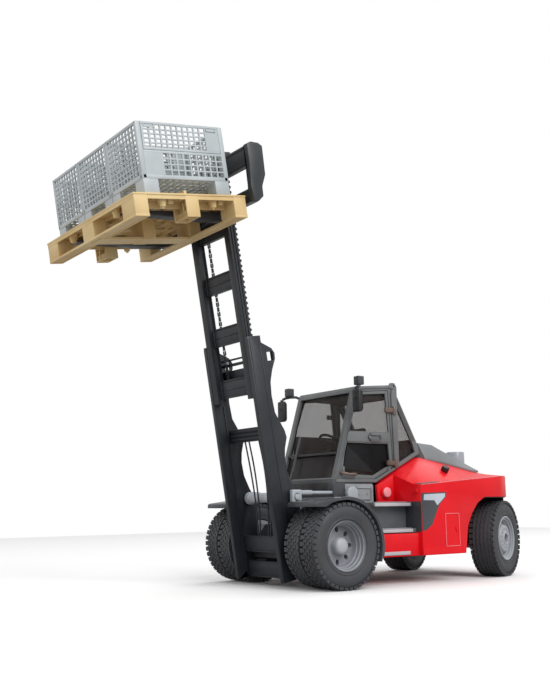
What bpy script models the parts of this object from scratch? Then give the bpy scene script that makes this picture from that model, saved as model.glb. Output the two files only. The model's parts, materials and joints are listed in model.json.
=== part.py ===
"""Toy forklift, 1:16 scale, with a tilting two-stage mast, a pallet and three mesh boxes.

Frame: the front faces -Y, the driver's left is +X and +Z is up. The origin is on the floor,
in the middle of the model's box. Outlines are written in millimetres and scaled to metres
once, when a mesh is finished. The pieces of the chassis are placed from the front axle, and
the pieces of the mast from the mast's tilt pivot.
"""
import math

import bmesh
import bpy
from mathutils import Matrix, Vector

MM = 0.001
GAP = 0.3
ROUND = 28

# Running gear
TYRE_R = 35.0
WHEELBASE = 199.8
TRACK_OUT = 80.9
FRONT_TYRE_W = 19.6
DUAL_GAP = 1.2
RIM_R = 20.4
AXLE_R = 2.5
KINGPIN_X = 60.0
KINGPIN_R = 1.4
EYE_R = 3.0
STUB_R = 2.2
REAR_TYRE_IN = -10.8
REAR_TYRE_OUT = 13.2
STEER = math.radians(19.2)
STEER_ARM = 9.0

# Where the front axle lies, so that the model's box is centred on the origin
FRONT_AXLE_Y = -20.02

# Body
BODY_X = 79.0
HOOD_X = 45.0
CAB_X = 40.0
CAB_WALL = 2.4
CHASSIS_X = 24.0
RECESS_BACK = 86.0

# Mast, in its own frame: x across, y back and z up along the mast, from the tilt pivot
MAST_TILT = math.radians(9.535)
PIVOT_Y = -13.0
PIVOT_Z = 29.9
MAST_OUT_X = 34.4
MAST_IN_X = 30.6
MAST_FRONT = -22.0
MAST_REAR = -8.4
MAST_BOTTOM = -21.6
MAST_TOP = 184.0
STAGE_IN_X = 22.4
STAGE_OUT_X = 30.0
STAGE_FRONT = -21.7
STAGE_REAR = -13.9
STAGE_BOTTOM = 132.2
STAGE_TOP = 341.0
BAR_PITCH = 46.0
BAR_H = 16.0
RACK_PITCH = 4.6
TUBE_Y = 0.6
TUBE_Z = 45.6

# The cross tube again, in the chassis frame, as (y, z)
TUBE_PLACE = (PIVOT_Y + TUBE_Y * math.cos(MAST_TILT) - TUBE_Z * math.sin(MAST_TILT),
              PIVOT_Z + TUBE_Y * math.sin(MAST_TILT) + TUBE_Z * math.cos(MAST_TILT))

# Carriage, forks and load, in the mast's frame
BEAM_FRONT = -32.0
BEAM_REAR = -25.5
CARRIAGE_X = 82.0
PLATE_X = 87.0
FORK_X = 46.0
FORK_W = 11.0
FORK_TOP = 285.7
PALLET_X = 79.9
PALLET_REAR = -35.8
PALLET_FRONT = -136.7
PALLET_TOP = 291.5
PALLET_H = 18.0
CAGE_X = 51.35
CAGE_PITCH = 51.65
CAGE_REAR = -47.7
CAGE_FRONT = -125.2
CAGE_TOP = 347.1
CAGE_FOOT = 11.2
CAGE_WALL = 1.2


# ---------------------------------------------------------------- scene and materials

def clear_scene():
    for item in list(bpy.data.objects):
        bpy.data.objects.remove(item, do_unlink=True)


def new_collection(name):
    collection = bpy.data.collections.new(name)
    bpy.context.scene.collection.children.link(collection)
    return collection


def principled(name, colour, roughness, metallic=0.0, alpha=1.0):
    material = bpy.data.materials.new(name)
    material.use_nodes = True
    shader = material.node_tree.nodes["Principled BSDF"]
    shader.inputs["Base Color"].default_value = (*colour, 1.0)
    shader.inputs["Roughness"].default_value = roughness
    shader.inputs["Metallic"].default_value = metallic
    shader.inputs["Alpha"].default_value = alpha
    material.diffuse_color = (*colour, 1.0)
    return material


clear_scene()
PARTS = new_collection("toy_forklift")
CUTTERS = new_collection("cutters")
FINISH = {
    "red": ((0.76, 0.02, 0.03), 0.35, 0.0, 1.0),
    "grey": ((0.24, 0.25, 0.26), 0.5, 0.0, 1.0),
    "dark_grey": ((0.13, 0.14, 0.15), 0.5, 0.0, 1.0),
    "black": ((0.03, 0.033, 0.038), 0.5, 0.0, 1.0),
    "light_grey": ((0.42, 0.44, 0.46), 0.45, 0.0, 1.0),
    "cage_grey": ((0.52, 0.56, 0.58), 0.4, 0.0, 1.0),
    "beige": ((0.76, 0.64, 0.40), 0.6, 0.0, 1.0),
    "rubber": ((0.06, 0.06, 0.065), 0.8, 0.0, 1.0),
    "glass": ((0.22, 0.19, 0.17), 0.08, 0.0, 0.4),
    "steel": ((0.6, 0.6, 0.6), 0.3, 1.0, 1.0),
}


# ---------------------------------------------------------------- mesh helpers

def tidy(mesh, face_out=True):
    """Weld the seams and, on a body with no hollow in it, turn every face outward."""
    work = bmesh.new()
    work.from_mesh(mesh)
    bmesh.ops.remove_doubles(work, verts=work.verts, dist=1e-4)
    bmesh.ops.dissolve_degenerate(work, edges=work.edges, dist=1e-4)
    if face_out:
        bmesh.ops.recalc_face_normals(work, faces=work.faces)
    work.to_mesh(mesh)
    work.free()
    return mesh


def evaluated_mesh(item):
    graph = bpy.context.evaluated_depsgraph_get()
    graph.update()
    return bpy.data.meshes.new_from_object(item.evaluated_get(graph))


def scratch(mesh):
    """A working solid, still in millimetres."""
    item = bpy.data.objects.new("work", mesh)
    item.hide_render = True
    item.display_type = "WIRE"
    CUTTERS.objects.link(item)
    return item


def box(low, high):
    work = bmesh.new()
    bmesh.ops.create_cube(work, size=1.0)
    size = Vector(high) - Vector(low)
    centre = (Vector(high) + Vector(low)) / 2
    bmesh.ops.scale(work, vec=size, verts=work.verts)
    bmesh.ops.translate(work, vec=centre, verts=work.verts)
    mesh = bpy.data.meshes.new("box")
    work.to_mesh(mesh)
    work.free()
    return scratch(mesh)


def rod(start, end, radius, sides=16, end_radius=None):
    """A round bar between two points."""
    start, end = Vector(start), Vector(end)
    along = end - start
    work = bmesh.new()
    bmesh.ops.create_cone(work, cap_ends=True, segments=sides, radius1=radius,
                          radius2=radius if end_radius is None else end_radius,
                          depth=along.length)
    turn = along.to_track_quat("Z", "Y").to_matrix().to_4x4()
    bmesh.ops.transform(work, matrix=Matrix.Translation((start + end) / 2) @ turn,
                        verts=work.verts)
    mesh = bpy.data.meshes.new("rod")
    work.to_mesh(mesh)
    work.free()
    return scratch(mesh)


PLANES = {
    "YZ": Matrix(((0, 0, 1, 0), (1, 0, 0, 0), (0, 1, 0, 0), (0, 0, 0, 1))),
    "XZ": Matrix(((1, 0, 0, 0), (0, 0, -1, 0), (0, 1, 0, 0), (0, 0, 0, 1))),
    "XY": Matrix.Identity(4),
}
PLANE_SIGN = {"YZ": 1.0, "XZ": -1.0, "XY": 1.0}


def plate(plane, outlines, low, high):
    """Outlines (the first one solid, the rest holes) made as thick as low to high."""
    curve = bpy.data.curves.new("outline", "CURVE")
    curve.dimensions = "2D"
    curve.fill_mode = "BOTH"
    curve.extrude = (high - low) / 2
    for outline in outlines:
        spline = curve.splines.new("POLY")
        spline.points.add(len(outline) - 1)
        for point, (u, v) in zip(spline.points, outline):
            point.co = (u, v, 0.0, 1.0)
        spline.use_cyclic_u = True
    item = bpy.data.objects.new("outline", curve)
    CUTTERS.objects.link(item)
    mesh = evaluated_mesh(item)
    bpy.data.objects.remove(item, do_unlink=True)
    tidy(mesh)
    shift = Matrix.Translation((0.0, 0.0, PLANE_SIGN[plane] * (low + high) / 2))
    mesh.transform(PLANES[plane] @ shift)
    return scratch(mesh)


def turned(profile, x_from, side=1.0, sides=ROUND, closed=True):
    """A profile of (radius, distance) turned about the X axis, from x_from outward."""
    mesh = bpy.data.meshes.new("profile")
    edges = [(i, i + 1) for i in range(len(profile) - 1)]
    if closed:
        edges.append((len(profile) - 1, 0))
    mesh.from_pydata([(r, 0.0, u) for r, u in profile], edges, [])
    item = scratch(mesh)
    screw = item.modifiers.new("turn", "SCREW")
    screw.axis = "Z"
    screw.steps = sides
    screw.render_steps = sides
    screw.use_merge_vertices = True
    screw.merge_threshold = 0.0001
    result = evaluated_mesh(item)
    bpy.data.objects.remove(item, do_unlink=True)
    tidy(result)
    to_x = Matrix(((0, 0, side, x_from), (0, 1, 0, 0), (1, 0, 0, 0), (0, 0, 0, 1)))
    result.transform(to_x)
    return scratch(tidy(result))


def tube(points, radius):
    """A bent round bar through points, as a solid mesh."""
    curve = bpy.data.curves.new("tube", "CURVE")
    curve.dimensions = "3D"
    curve.bevel_depth = radius
    curve.bevel_resolution = 2
    curve.use_fill_caps = True
    spline = curve.splines.new("POLY")
    spline.points.add(len(points) - 1)
    for point, place in zip(spline.points, points):
        point.co = (*place, 1.0)
    item = bpy.data.objects.new("tube", curve)
    CUTTERS.objects.link(item)
    mesh = evaluated_mesh(item)
    bpy.data.objects.remove(item, do_unlink=True)
    return scratch(tidy(mesh))


def loft(sections):
    """A closed skin through sections that have the same number of corners."""
    work = bmesh.new()
    rings = [[work.verts.new(corner) for corner in section] for section in sections]
    count = len(rings[0])
    for ring, following in zip(rings, rings[1:]):
        for i in range(count):
            j = (i + 1) % count
            work.faces.new((ring[i], ring[j], following[j], following[i]))
    work.faces.new(rings[0])
    work.faces.new(rings[-1])
    mesh = bpy.data.meshes.new("loft")
    work.to_mesh(mesh)
    work.free()
    return scratch(tidy(mesh))


def combine(base, others, operation):
    """Join the other solids to the base, or cut them from it."""
    for other in others:
        step = base.modifiers.new("combine", "BOOLEAN")
        step.operation = operation
        step.solver = "EXACT"
        step.object = other
        mesh = evaluated_mesh(base)
        base.modifiers.clear()
        base.data = tidy(mesh, face_out=False)
        bpy.data.objects.remove(other, do_unlink=True)
    return base


def join(base, *others):
    return combine(base, others, "UNION")


def cut(base, *others):
    return combine(base, others, "DIFFERENCE")


def rounded(item, width, angle=40.0, segments=1):
    """Break the sharp edges of a working solid."""
    bevel = item.modifiers.new("edges", "BEVEL")
    bevel.width = width
    bevel.segments = segments
    bevel.limit_method = "ANGLE"
    bevel.angle_limit = math.radians(angle)
    mesh = evaluated_mesh(item)
    item.modifiers.clear()
    item.data = tidy(mesh)
    return item


def frame_at(name, place, turn=(0.0, 0.0, 0.0), parent=None):
    empty = bpy.data.objects.new(name, None)
    empty.location = Vector(place) * MM
    empty.rotation_euler = turn
    empty.parent = parent
    PARTS.objects.link(empty)
    return empty


def finish(name, item, colour, parent, smooth=False):
    """Turn a working solid into the named piece, in metres, in its parent's frame."""
    mesh = item.data
    mesh.transform(Matrix.Scale(MM, 4))
    mesh.name = name
    item.name = name
    CUTTERS.objects.unlink(item)
    PARTS.objects.link(item)
    item.hide_render = False
    item.display_type = "TEXTURED"
    item.parent = parent
    material = principled(f"{name}_{colour}", *FINISH[colour])
    mesh.materials.clear()
    mesh.materials.append(material)
    if smooth:
        mesh.shade_smooth()
        mesh.set_sharp_from_angle(angle=math.radians(35))
    return item


def move_to(item, frame_place):
    """Express a working solid, drawn in the chassis frame, from a child frame's place."""
    item.data.transform(Matrix.Translation(-Vector(frame_place)))
    return item


def mirrored(outline):
    return [(-u, v) for u, v in reversed(outline)]


def inset(outline, distance):
    """The outline moved inward by a distance; its corners run clockwise or not."""
    area = sum(a[0] * b[1] - b[0] * a[1] for a, b in zip(outline, outline[1:] + outline[:1]))
    side = 1.0 if area > 0 else -1.0
    result = []
    count = len(outline)
    for i in range(count):
        before = Vector(outline[i - 1])
        here = Vector(outline[i])
        after = Vector(outline[(i + 1) % count])
        into = (here - before).normalized()
        out = (after - here).normalized()
        normal_in = Vector((-into.y, into.x)) * side
        normal_out = Vector((-out.y, out.x)) * side
        middle = (normal_in + normal_out).normalized()
        reach = distance / max(middle.dot(normal_in), 0.2)
        result.append(tuple(here + middle * reach))
    return result


def arc(centre, radius, start, end, count):
    """Points on an arc, angles in degrees."""
    points = []
    for i in range(count + 1):
        angle = math.radians(start + (end - start) * i / count)
        points.append((centre[0] + radius * math.cos(angle),
                       centre[1] + radius * math.sin(angle)))
    return points


# ---------------------------------------------------------------- frames

CHASSIS = frame_at("chassis_origin", (0.0, FRONT_AXLE_Y, 0.0))
MAST = frame_at("mast_pivot", (0.0, PIVOT_Y, PIVOT_Z), (MAST_TILT, 0.0, 0.0), CHASSIS)
SIDES = (("left", 1.0), ("right", -1.0))


def across(sign, near, far):
    """A span of x on the left (sign 1) or the right (sign -1), lowest value first."""
    return tuple(sorted((sign * near, sign * far)))


def side_box(sign, near, far, low, high):
    """A box on one side; low and high are its (y, z) corners."""
    x_low, x_high = across(sign, near, far)
    return box((x_low, *low), (x_high, *high))


# ---------------------------------------------------------------- chassis and body

def chassis_frame():
    """The black spine, with lugs for the mast pin and bores for the axles."""
    spine = box((-CHASSIS_X, -7.0, 20.0), (CHASSIS_X, 160.0, 43.0))
    tail = box((-20.0, 150.0, 42.0), (20.0, 214.0, 70.0))
    front = plate("YZ", [[(-19.5, 24.0), (-19.5, 36.0), (-7.0, 52.0), (30.0, 52.0),
                          (30.0, 22.0), (-12.0, 22.0)]], -CHASSIS_X, CHASSIS_X)
    frame = join(spine, tail, front)
    return cut(frame,
               rod((-60, 0, TYRE_R), (60, 0, TYRE_R), AXLE_R + GAP),
               rod((-60, PIVOT_Y, PIVOT_Z), (60, PIVOT_Y, PIVOT_Z), 2.3))


def body_section(y, half, shoulder, ledge, hood_z, hood_x=HOOD_X):
    """One cross-section of the red body, from the floor line up; ledge is its inner (x, z)."""
    ledge_x, ledge_z = ledge
    return [(-half, y, 24.0), (half, y, 24.0), (half, y, shoulder), (ledge_x, y, ledge_z),
            (hood_x, y, hood_z), (-hood_x, y, hood_z), (-ledge_x, y, ledge_z),
            (-half, y, shoulder)]


def cab_underline(y):
    """Height of the sloping line under the rear half of the cab."""
    return 86.0 + 0.473 * (y - 68.9)


def body_shell():
    """The red body: rear loft, boss under the cab door, and the lowest step."""
    rear = loft([
        body_section(RECESS_BACK, BODY_X, 84.5, (70.0, 85.2), cab_underline(RECESS_BACK)),
        body_section(120.0, BODY_X, 87.2, (70.0, 88.3), 110.0),
        body_section(156.0, BODY_X, 90.0, (64.0, 91.6), 104.0),
        body_section(190.0, BODY_X, 92.6, (52.0, 95.6), 97.6),
        body_section(207.0, 71.0, 93.0, (48.0, 95.4), 96.0),
        body_section(228.0, 54.0, 92.0, (43.6, 93.6), 94.0, 42.0),
    ])
    wedge = plate("YZ", [[(67.0, 70.0), (66.0, 84.6), (RECESS_BACK + 1, cab_underline(87.0)),
                          (RECESS_BACK + 1, 70.0)]], -HOOD_X, HOOD_X)
    low_step = box((-74.0, 40.5, 24.0), (74.0, RECESS_BACK + 1, 43.0))
    shell = join(rear, wedge, low_step)
    arch = [(136.0, 0.0), (140.5, 28.0), (144.0, 48.0), (150.0, 59.0), (158.0, 68.0),
            (168.0, 73.5), (250.0, 73.5), (250.0, 0.0)]
    inner_x = CHASSIS_X + 0.4
    cavity = box((-inner_x, 30.0, 20.0), (inner_x, 160.4, 43.4))
    upper = box((-42.4, 30.0, 42.0), (42.4, 112.0, 86.6))
    lamp_well = box((-inner_x, 100.0, 42.0), (inner_x, 216.0, 80.0))
    exhaust_well = rod((0.0, 217.0, 84.0), (0.0, 217.0, 130.0), 9.4)
    hollows = [side_box(s, 45.0, 74.0, (90.0, 28.0), (137.0, 80.0)) for _, s in SIDES]
    undercuts = [side_box(s, 48.0, 71.0, (93.0, 10.0), (134.0, 40.0)) for _, s in SIDES]
    arches = [plate("YZ", [arch], *across(s, 33.0, 95.0)) for _, s in SIDES]
    rear_foot = box((-60.0, 160.0, 10.0), (60.0, 216.0, 44.0))
    return cut(shell, cavity, upper, lamp_well, exhaust_well, rear_foot,
               *hollows, *undercuts, *arches)


def step_insert(sign):
    """The dark grey stair in the recess: two treads with a hollow between them."""
    stair = [(45.0, 43.3), (72.5, 43.3), (72.5, 47.2), (60.0, 47.2), (60.0, 65.6),
             (68.0, 65.6), (68.0, 69.6), (45.0, 69.6)]
    outline = stair if sign > 0 else mirrored(stair)
    return rounded(plate("XZ", [outline], 40.5, RECESS_BACK - GAP), 0.4)


def base_cover():
    """The grey block that carries the cab and the tilt knob."""
    block = plate("YZ", [[(20.6, 52.4), (20.6, 86.3), (65.4, 86.3), (66.4, 84.4), (66.4, 69.4),
                          (84.0, 69.4), (84.0, 43.4), (30.6, 43.4), (30.6, 52.4)]], -CAB_X, CAB_X)
    shaft = rod((-60.0, 38.0, 77.5), (60.0, 38.0, 77.5), 1.9)
    guides = [rod((s * 38.0, 0.0, 78.5), (s * 38.0, 46.0, 78.5), 1.9, 12) for _, s in SIDES]
    return cut(rounded(block, 0.5), shaft, *guides)


def hood_section(y, top, top_x, base):
    return [(-HOOD_X + 0.4, y, base), (HOOD_X - 0.4, y, base),
            (HOOD_X - 0.4, y, base + 1.8), (top_x, y, top),
            (-top_x, y, top), (-HOOD_X + 0.4, y, base + 1.8)]


def engine_hood():
    return loft([
        hood_section(127.2, 124.4, 36.0, 108.9),
        hood_section(146.0, 123.0, 36.0, 106.0),
        hood_section(156.0, 119.5, 35.0, 104.4),
        hood_section(190.0, 105.0, 39.0, 98.0),
        hood_section(200.0, 101.0, 40.0, 97.2),
    ])


def exhaust_stack():
    return rounded(rod((0.0, 217.0, 84.4), (0.0, 217.0, 119.8), 9.0, 24), 0.8, 60.0, 2)


def fender(sign):
    """The mudguard over the dual tyres, with its flat front."""
    outer = arc((0.0, TYRE_R), 38.6, -21.0, 98.0, 12) + [(-26.0, 70.6), (-31.5, 69.8)]
    inner = [(-31.5, 68.4), (-26.0, 69.2)] + arc((0.0, TYRE_R), 37.0, 100.0, -21.0, 12)
    return plate("YZ", [outer + inner], *across(sign, 42.4, 81.5))


# ---------------------------------------------------------------- cab

CAB_OUTLINE = [(20.5, 87.0), (45.8, 169.6), (48.6, 172.6), (91.0, 176.4), (95.0, 173.6),
               (122.6, 123.6), (125.6, 114.4), (68.6, 87.0)]
DOOR_OUTLINE = [(25.4, 90.0), (49.0, 167.6), (87.2, 171.0), (91.6, 101.2), (67.6, 90.0)]
QUARTER_OUTLINE = [(93.0, 166.4), (117.2, 122.6), (119.6, 115.4), (97.0, 104.4)]
PANE = 1.0


def front_line(z):
    """Where the cab's front plane lies at a height."""
    return 20.5 + (z - 87.0) * (45.8 - 20.5) / (169.6 - 87.0)


def rear_line(z):
    return 95.0 + (173.6 - z) * (122.6 - 95.0) / (173.6 - 123.6)


def slab_outline(line, low, high, front, back):
    return [(line(low) + front, low), (line(high) + front, high),
            (line(high) + back, high), (line(low) + back, low)]


def cab_frame():
    """The grey cab: a thin shell with its window and door openings."""
    shell = plate("YZ", [CAB_OUTLINE], -CAB_X, CAB_X)
    room = plate("YZ", [inset(CAB_OUTLINE, CAB_WALL)], -CAB_X + CAB_WALL, CAB_X - CAB_WALL)
    doorway = plate("YZ", [inset(DOOR_OUTLINE, -0.4)], -60.0, 60.0)
    quarter = plate("YZ", [QUARTER_OUTLINE], -60.0, 60.0)
    view = CAB_X - 4.6
    screen = plate("YZ", [slab_outline(front_line, 115.0, 167.0, -9.0, 8.0)], -view, view)
    screen_low = plate("YZ", [slab_outline(front_line, 91.5, 111.6, -9.0, 8.0)], -view, view)
    rear = plate("YZ", [slab_outline(rear_line, 127.0, 169.5, -8.0, 9.0)], -view, view)
    return cut(shell, room, doorway, quarter, screen, screen_low, rear)


def door_frame(sign):
    """The painted frame of a door, round its two panes."""
    upper = [(38.6, 132.6), (52.0, 165.2), (84.4, 168.2), (87.6, 132.6)]
    lower = [(30.8, 95.0), (35.8, 122.0), (86.0, 122.0), (88.0, 103.4), (66.4, 93.4)]
    return plate("YZ", [DOOR_OUTLINE, upper, lower], *across(sign, CAB_X - 2.2, CAB_X - 0.1))


def door_glass(sign):
    """The tinted inner moulding of a door."""
    return plate("YZ", [inset(DOOR_OUTLINE, 0.6)], *across(sign, CAB_X - 3.5, CAB_X - 2.5))


def windscreen():
    back = CAB_WALL * 1.05 + GAP
    return plate("YZ", [slab_outline(front_line, 90.6, 167.8, back, back + PANE)],
                 -CAB_X + 4.0, CAB_X - 4.0)


def rear_window():
    back = -CAB_WALL * 1.15 - GAP
    return plate("YZ", [slab_outline(rear_line, 125.4, 169.0, back - PANE, back)],
                 -CAB_X + 4.0, CAB_X - 4.0)


def quarter_glass(sign):
    outer_x = CAB_X - CAB_WALL - GAP
    pane = [(92.4, 167.2), (93.6, 167.2), (118.2, 122.8), (120.6, 115.2), (96.6, 103.8),
            (92.4, 103.8)]
    return plate("YZ", [pane], *across(sign, outer_x - PANE, outer_x))


def driver_seat():
    """Seat and backrest as one moulding, seen from the side."""
    side = [(51.0, 90.2), (49.0, 101.0), (50.0, 104.0), (71.0, 106.0), (78.0, 134.0),
            (81.6, 139.0), (84.8, 138.0), (80.0, 104.0), (73.0, 100.4), (66.0, 90.2)]
    return rounded(plate("YZ", [side], -13.0, 13.0), 1.0)


def dash_console():
    """The dashboard below the windscreen, with the steering column."""
    desk = plate("YZ", [[(27.0, 90.2), (33.0, 110.0), (38.0, 112.0), (42.0, 108.0),
                         (38.0, 90.2)]], -30.0, 30.0)
    column = rod((0.0, 39.7, 104.3), (0.0, 51.6, 121.9), 2.2, 12)
    return join(rounded(desk, 0.8), column)


WHEEL_TILT = math.radians(34.0)
WHEEL_PLACE = (0.0, 52.0, 122.5)
WHEEL_R = 12.6


def steering_wheel():
    """Rim, hub and three spokes, drawn flat about the column's line."""
    rim_mesh = bpy.data.meshes.new("rim")
    profile = [(WHEEL_R + 1.3 * math.cos(a), 0.0, 2.4 + 1.3 * math.sin(a))
               for a in (2 * math.pi * i / 8 for i in range(8))]
    rim_mesh.from_pydata(profile, [(i, (i + 1) % 8) for i in range(8)], [])
    rim = scratch(rim_mesh)
    screw = rim.modifiers.new("turn", "SCREW")
    screw.steps = 24
    screw.render_steps = 24
    screw.use_merge_vertices = True
    screw.merge_threshold = 0.0001
    mesh = evaluated_mesh(rim)
    rim.modifiers.clear()
    rim.data = tidy(mesh)
    hub = rod((0, 0, 0.4), (0, 0, 3.0), 3.2, 12)
    spokes = [rod((0, 0, 1.8), (WHEEL_R * math.cos(a), WHEEL_R * math.sin(a), 2.4), 0.9, 8)
              for a in (math.radians(90 + 120 * i) for i in range(3))]
    return join(rim, hub, *spokes)


def mirror_arm(sign):
    """The bent arm at the roof's front corner, with the work lamp on top."""
    path = [(40.4, 46.6, 169.6), (44.0, 45.8, 171.2), (51.0, 43.4, 171.6), (54.0, 40.6, 170.9),
            (55.2, 37.6, 169.4)]
    arm = tube([(sign * x, y, z) for x, y, z in path], 1.3)
    lamp = rounded(side_box(sign, 47.4, 54.6, (39.6, 172.2), (46.4, 180.0)), 0.6)
    return join(arm, lamp)


def mirror_head(sign):
    return rounded(side_box(sign, 50.4, 60.0, (34.6, 147.8), (39.0, 167.6)), 1.0)


# ---------------------------------------------------------------- running gear

def front_axle():
    return rod((-72.0, 0.0, TYRE_R), (72.0, 0.0, TYRE_R), AXLE_R, 16)


def tyre_profile(width):
    """Half a rounded section, as (radius, distance from the inner face)."""
    bead, shoulder = RIM_R + GAP, TYRE_R - 1.2
    left = [(bead, 1.2), (bead + 2.0, 0.3), (27.5, 0.0), (shoulder - 1.6, 0.8), (shoulder, 1.8),
            (TYRE_R, 3.2)]
    right = [(r, width - u) for r, u in reversed(left)]
    return left + right


FRONT_RIM = [(0.0, 34.4), (4.0, 34.2), (6.8, 33.0), (7.4, 31.0), (7.4, 26.6), (14.0, 25.8),
             (15.6, 27.4), (16.6, 31.0), (18.0, 33.4), (18.6, 37.6), (20.0, 39.4),
             (RIM_R, 39.0), (RIM_R, 1.0), (17.0, 0.4), (12.0, 3.0), (AXLE_R + GAP, 3.0),
             (AXLE_R + GAP, 31.6), (0.0, 31.6)]
REAR_RIM = [(0.0, 10.8), (2.6, 10.8), (3.0, 11.6), (7.4, 11.4), (8.6, 9.8), (9.4, 7.2),
            (15.0, 5.4), (16.8, 8.0), (18.4, 10.6), (19.4, 12.8), (RIM_R, 12.6),
            (RIM_R, -9.8), (18.4, -10.2), (18.4, 2.0), (14.0, 4.0), (5.6, 6.8),
            (STUB_R + GAP, 6.8), (STUB_R + GAP, 9.8), (0.0, 9.8)]


def rear_axle_beam():
    """The steering axle: a box beam with an eye for each kingpin."""
    beam = box((-53.0, -5.5, -5.0), (53.0, 5.5, 5.0))
    riser = box((-14.0, -9.0, 4.0), (14.0, 9.0, 6.6))
    eyes = [rod((s * KINGPIN_X, 0, -4.2), (s * KINGPIN_X, 0, 4.2), EYE_R, 20) for _, s in SIDES]
    necks = [side_box(s, 50.0, 58.0, (-2.4, -4.2), (2.4, 4.2)) for _, s in SIDES]
    bores = [rod((s * KINGPIN_X, 0, -9), (s * KINGPIN_X, 0, 9), KINGPIN_R + GAP, 16)
             for _, s in SIDES]
    return cut(join(beam, riser, *necks, *eyes), *bores)


def knuckle(sign):
    """The steered yoke: two arms round the eye, the kingpin, the stub and the steering arm."""
    top = side_box(sign, -2.8, 5.0, (-3.0, 4.6), (3.0, 6.2))
    bottom = side_box(sign, -2.8, 5.0, (-3.0, -6.2), (3.0, -4.6))
    web = side_box(sign, EYE_R + 0.4, 5.0, (-3.0, -6.2), (3.0, 6.2))
    pin = rod((0, 0, -6.0), (0, 0, 6.0), KINGPIN_R, 16)
    stub = rod((sign * 4.0, 0, 0), (sign * 9.4, 0, 0), STUB_R, 16)
    arm = box((-1.6, -STEER_ARM - 1.8, -6.2), (1.6, -2.0, -4.6))
    ball = rod((0, -STEER_ARM, -9.0), (0, -STEER_ARM, -5.6), 1.1, 12)
    return join(top, bottom, web, pin, stub, arm, ball)


def tie_rod():
    """The bar that joins the steering arms, with a hole for each arm's pin."""
    reach = KINGPIN_X + 3.0
    bar = box((-reach, -3.0, -8.8), (reach, 3.0, -6.8))
    holes = [rod((s * KINGPIN_X, 0, -20), (s * KINGPIN_X, 0, 0), 1.8, 16) for _, s in SIDES]
    waist = [box((-52.0, low, -12.0), (52.0, high, -4.0))
             for low, high in ((-6.0, -1.5), (1.5, 6.0))]
    return cut(bar, *holes, *waist)


# ---------------------------------------------------------------- mast

CHEEK = [(MAST_FRONT, MAST_BOTTOM), (MAST_FRONT, MAST_TOP), (MAST_REAR, MAST_TOP),
         (MAST_REAR, 178.0), (1.6, 172.4), (4.2, 168.0), (3.8, 163.0), (-0.8, 154.0),
         (-4.4, 144.0), (-5.4, 132.6), (-4.6, 118.0), (2.6, 102.0), (3.8, 96.0), (0.2, 86.6),
         (-1.4, 78.0), (-0.8, 66.0), (3.0, 54.0), (6.8, 46.0), (6.8, 10.0), (8.0, 4.0),
         (8.0, -4.0), (4.0, -8.0), (-5.6, -9.6), (MAST_REAR, -14.0), (MAST_REAR, MAST_BOTTOM)]


def outer_mast():
    """Two hourglass cheeks tied by bars behind the sliding stage."""
    window = [(-4.2, 162.0), (-4.2, 169.6), (2.0, 169.6), (2.0, 162.0)]
    cheeks = [plate("YZ", [CHEEK, window], *across(s, MAST_IN_X, MAST_OUT_X))
              for _, s in SIDES]
    ties = [box((-MAST_IN_X - 0.5, -10.8, z), (MAST_IN_X + 0.5, -8.6, z + 14.0))
            for z in (MAST_BOTTOM + 0.4, 0.4)]
    beam = box((-MAST_IN_X - 0.5, -9.6, 96.0), (MAST_IN_X + 0.5, -3.0, 108.0))
    head = box((-MAST_IN_X - 0.5, -9.6, 152.0), (MAST_IN_X + 0.5, -6.6, 160.0))
    pin = rod((-60, 0, 0), (60, 0, 0), 2.3, 16)
    collar = rod((-60, TUBE_Y, TUBE_Z), (60, TUBE_Y, TUBE_Z), 3.1, 20)
    return cut(join(cheeks[0], cheeks[1], *ties, beam, head), pin, collar)


def inner_mast():
    """The sliding stage: two grooved uprights, five rungs and a rack up its left rear edge."""
    uprights = []
    for _, s in SIDES:
        upright = side_box(s, STAGE_IN_X, STAGE_OUT_X, (STAGE_FRONT, STAGE_BOTTOM),
                           (STAGE_REAR, STAGE_TOP))
        grooves = [side_box(s, STAGE_OUT_X - 1.0, STAGE_OUT_X + 2.0, (y, STAGE_BOTTOM + 4.0),
                            (y + 1.4, STAGE_TOP - 4.0)) for y in (-20.0, -17.2)]
        uprights.append(cut(upright, *grooves))
    rungs = [box((-STAGE_IN_X - 0.5, -17.6, STAGE_BOTTOM + 3.8 + BAR_PITCH * i),
                 (STAGE_IN_X + 0.5, -14.2, STAGE_BOTTOM + 3.8 + BAR_H + BAR_PITCH * i))
             for i in range(5)]
    rack = rack_strip()
    return join(uprights[0], uprights[1], *rungs, rack)


def rack_strip():
    """Square teeth at an even pitch along the rear edge."""
    outline = [(STAGE_REAR - 0.6, 150.0)]
    z = 150.0
    while z < 330.0:
        outline += [(-13.0, z), (-13.0, z + RACK_PITCH * 0.45),
                    (-11.6, z + RACK_PITCH * 0.5), (-11.6, z + RACK_PITCH * 0.9)]
        z += RACK_PITCH
    outline += [(-13.0, z), (STAGE_REAR - 0.6, z)]
    return plate("YZ", [outline], 25.0, 28.6)


def chain(sign):
    """One lift chain, behind the rungs."""
    return side_box(sign, 14.0, 17.0, (-13.8, STAGE_BOTTOM + 6.0), (-11.9, STAGE_TOP - 6.0))


def tilt_tube():
    """The cross tube that carries the tilt rods, with two flanges at its right end."""
    bar = rod((-42.0, TUBE_Y, TUBE_Z), (42.0, TUBE_Y, TUBE_Z), 2.6, 20)
    sleeve = rod((-30.2, TUBE_Y, TUBE_Z), (30.2, TUBE_Y, TUBE_Z), 4.4, 20)
    flanges = [rod((x, TUBE_Y, TUBE_Z), (x + 1.4, TUBE_Y, TUBE_Z), 5.6, 20)
               for x in (-29.4, -26.2)]
    return join(bar, sleeve, *flanges)


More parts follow.
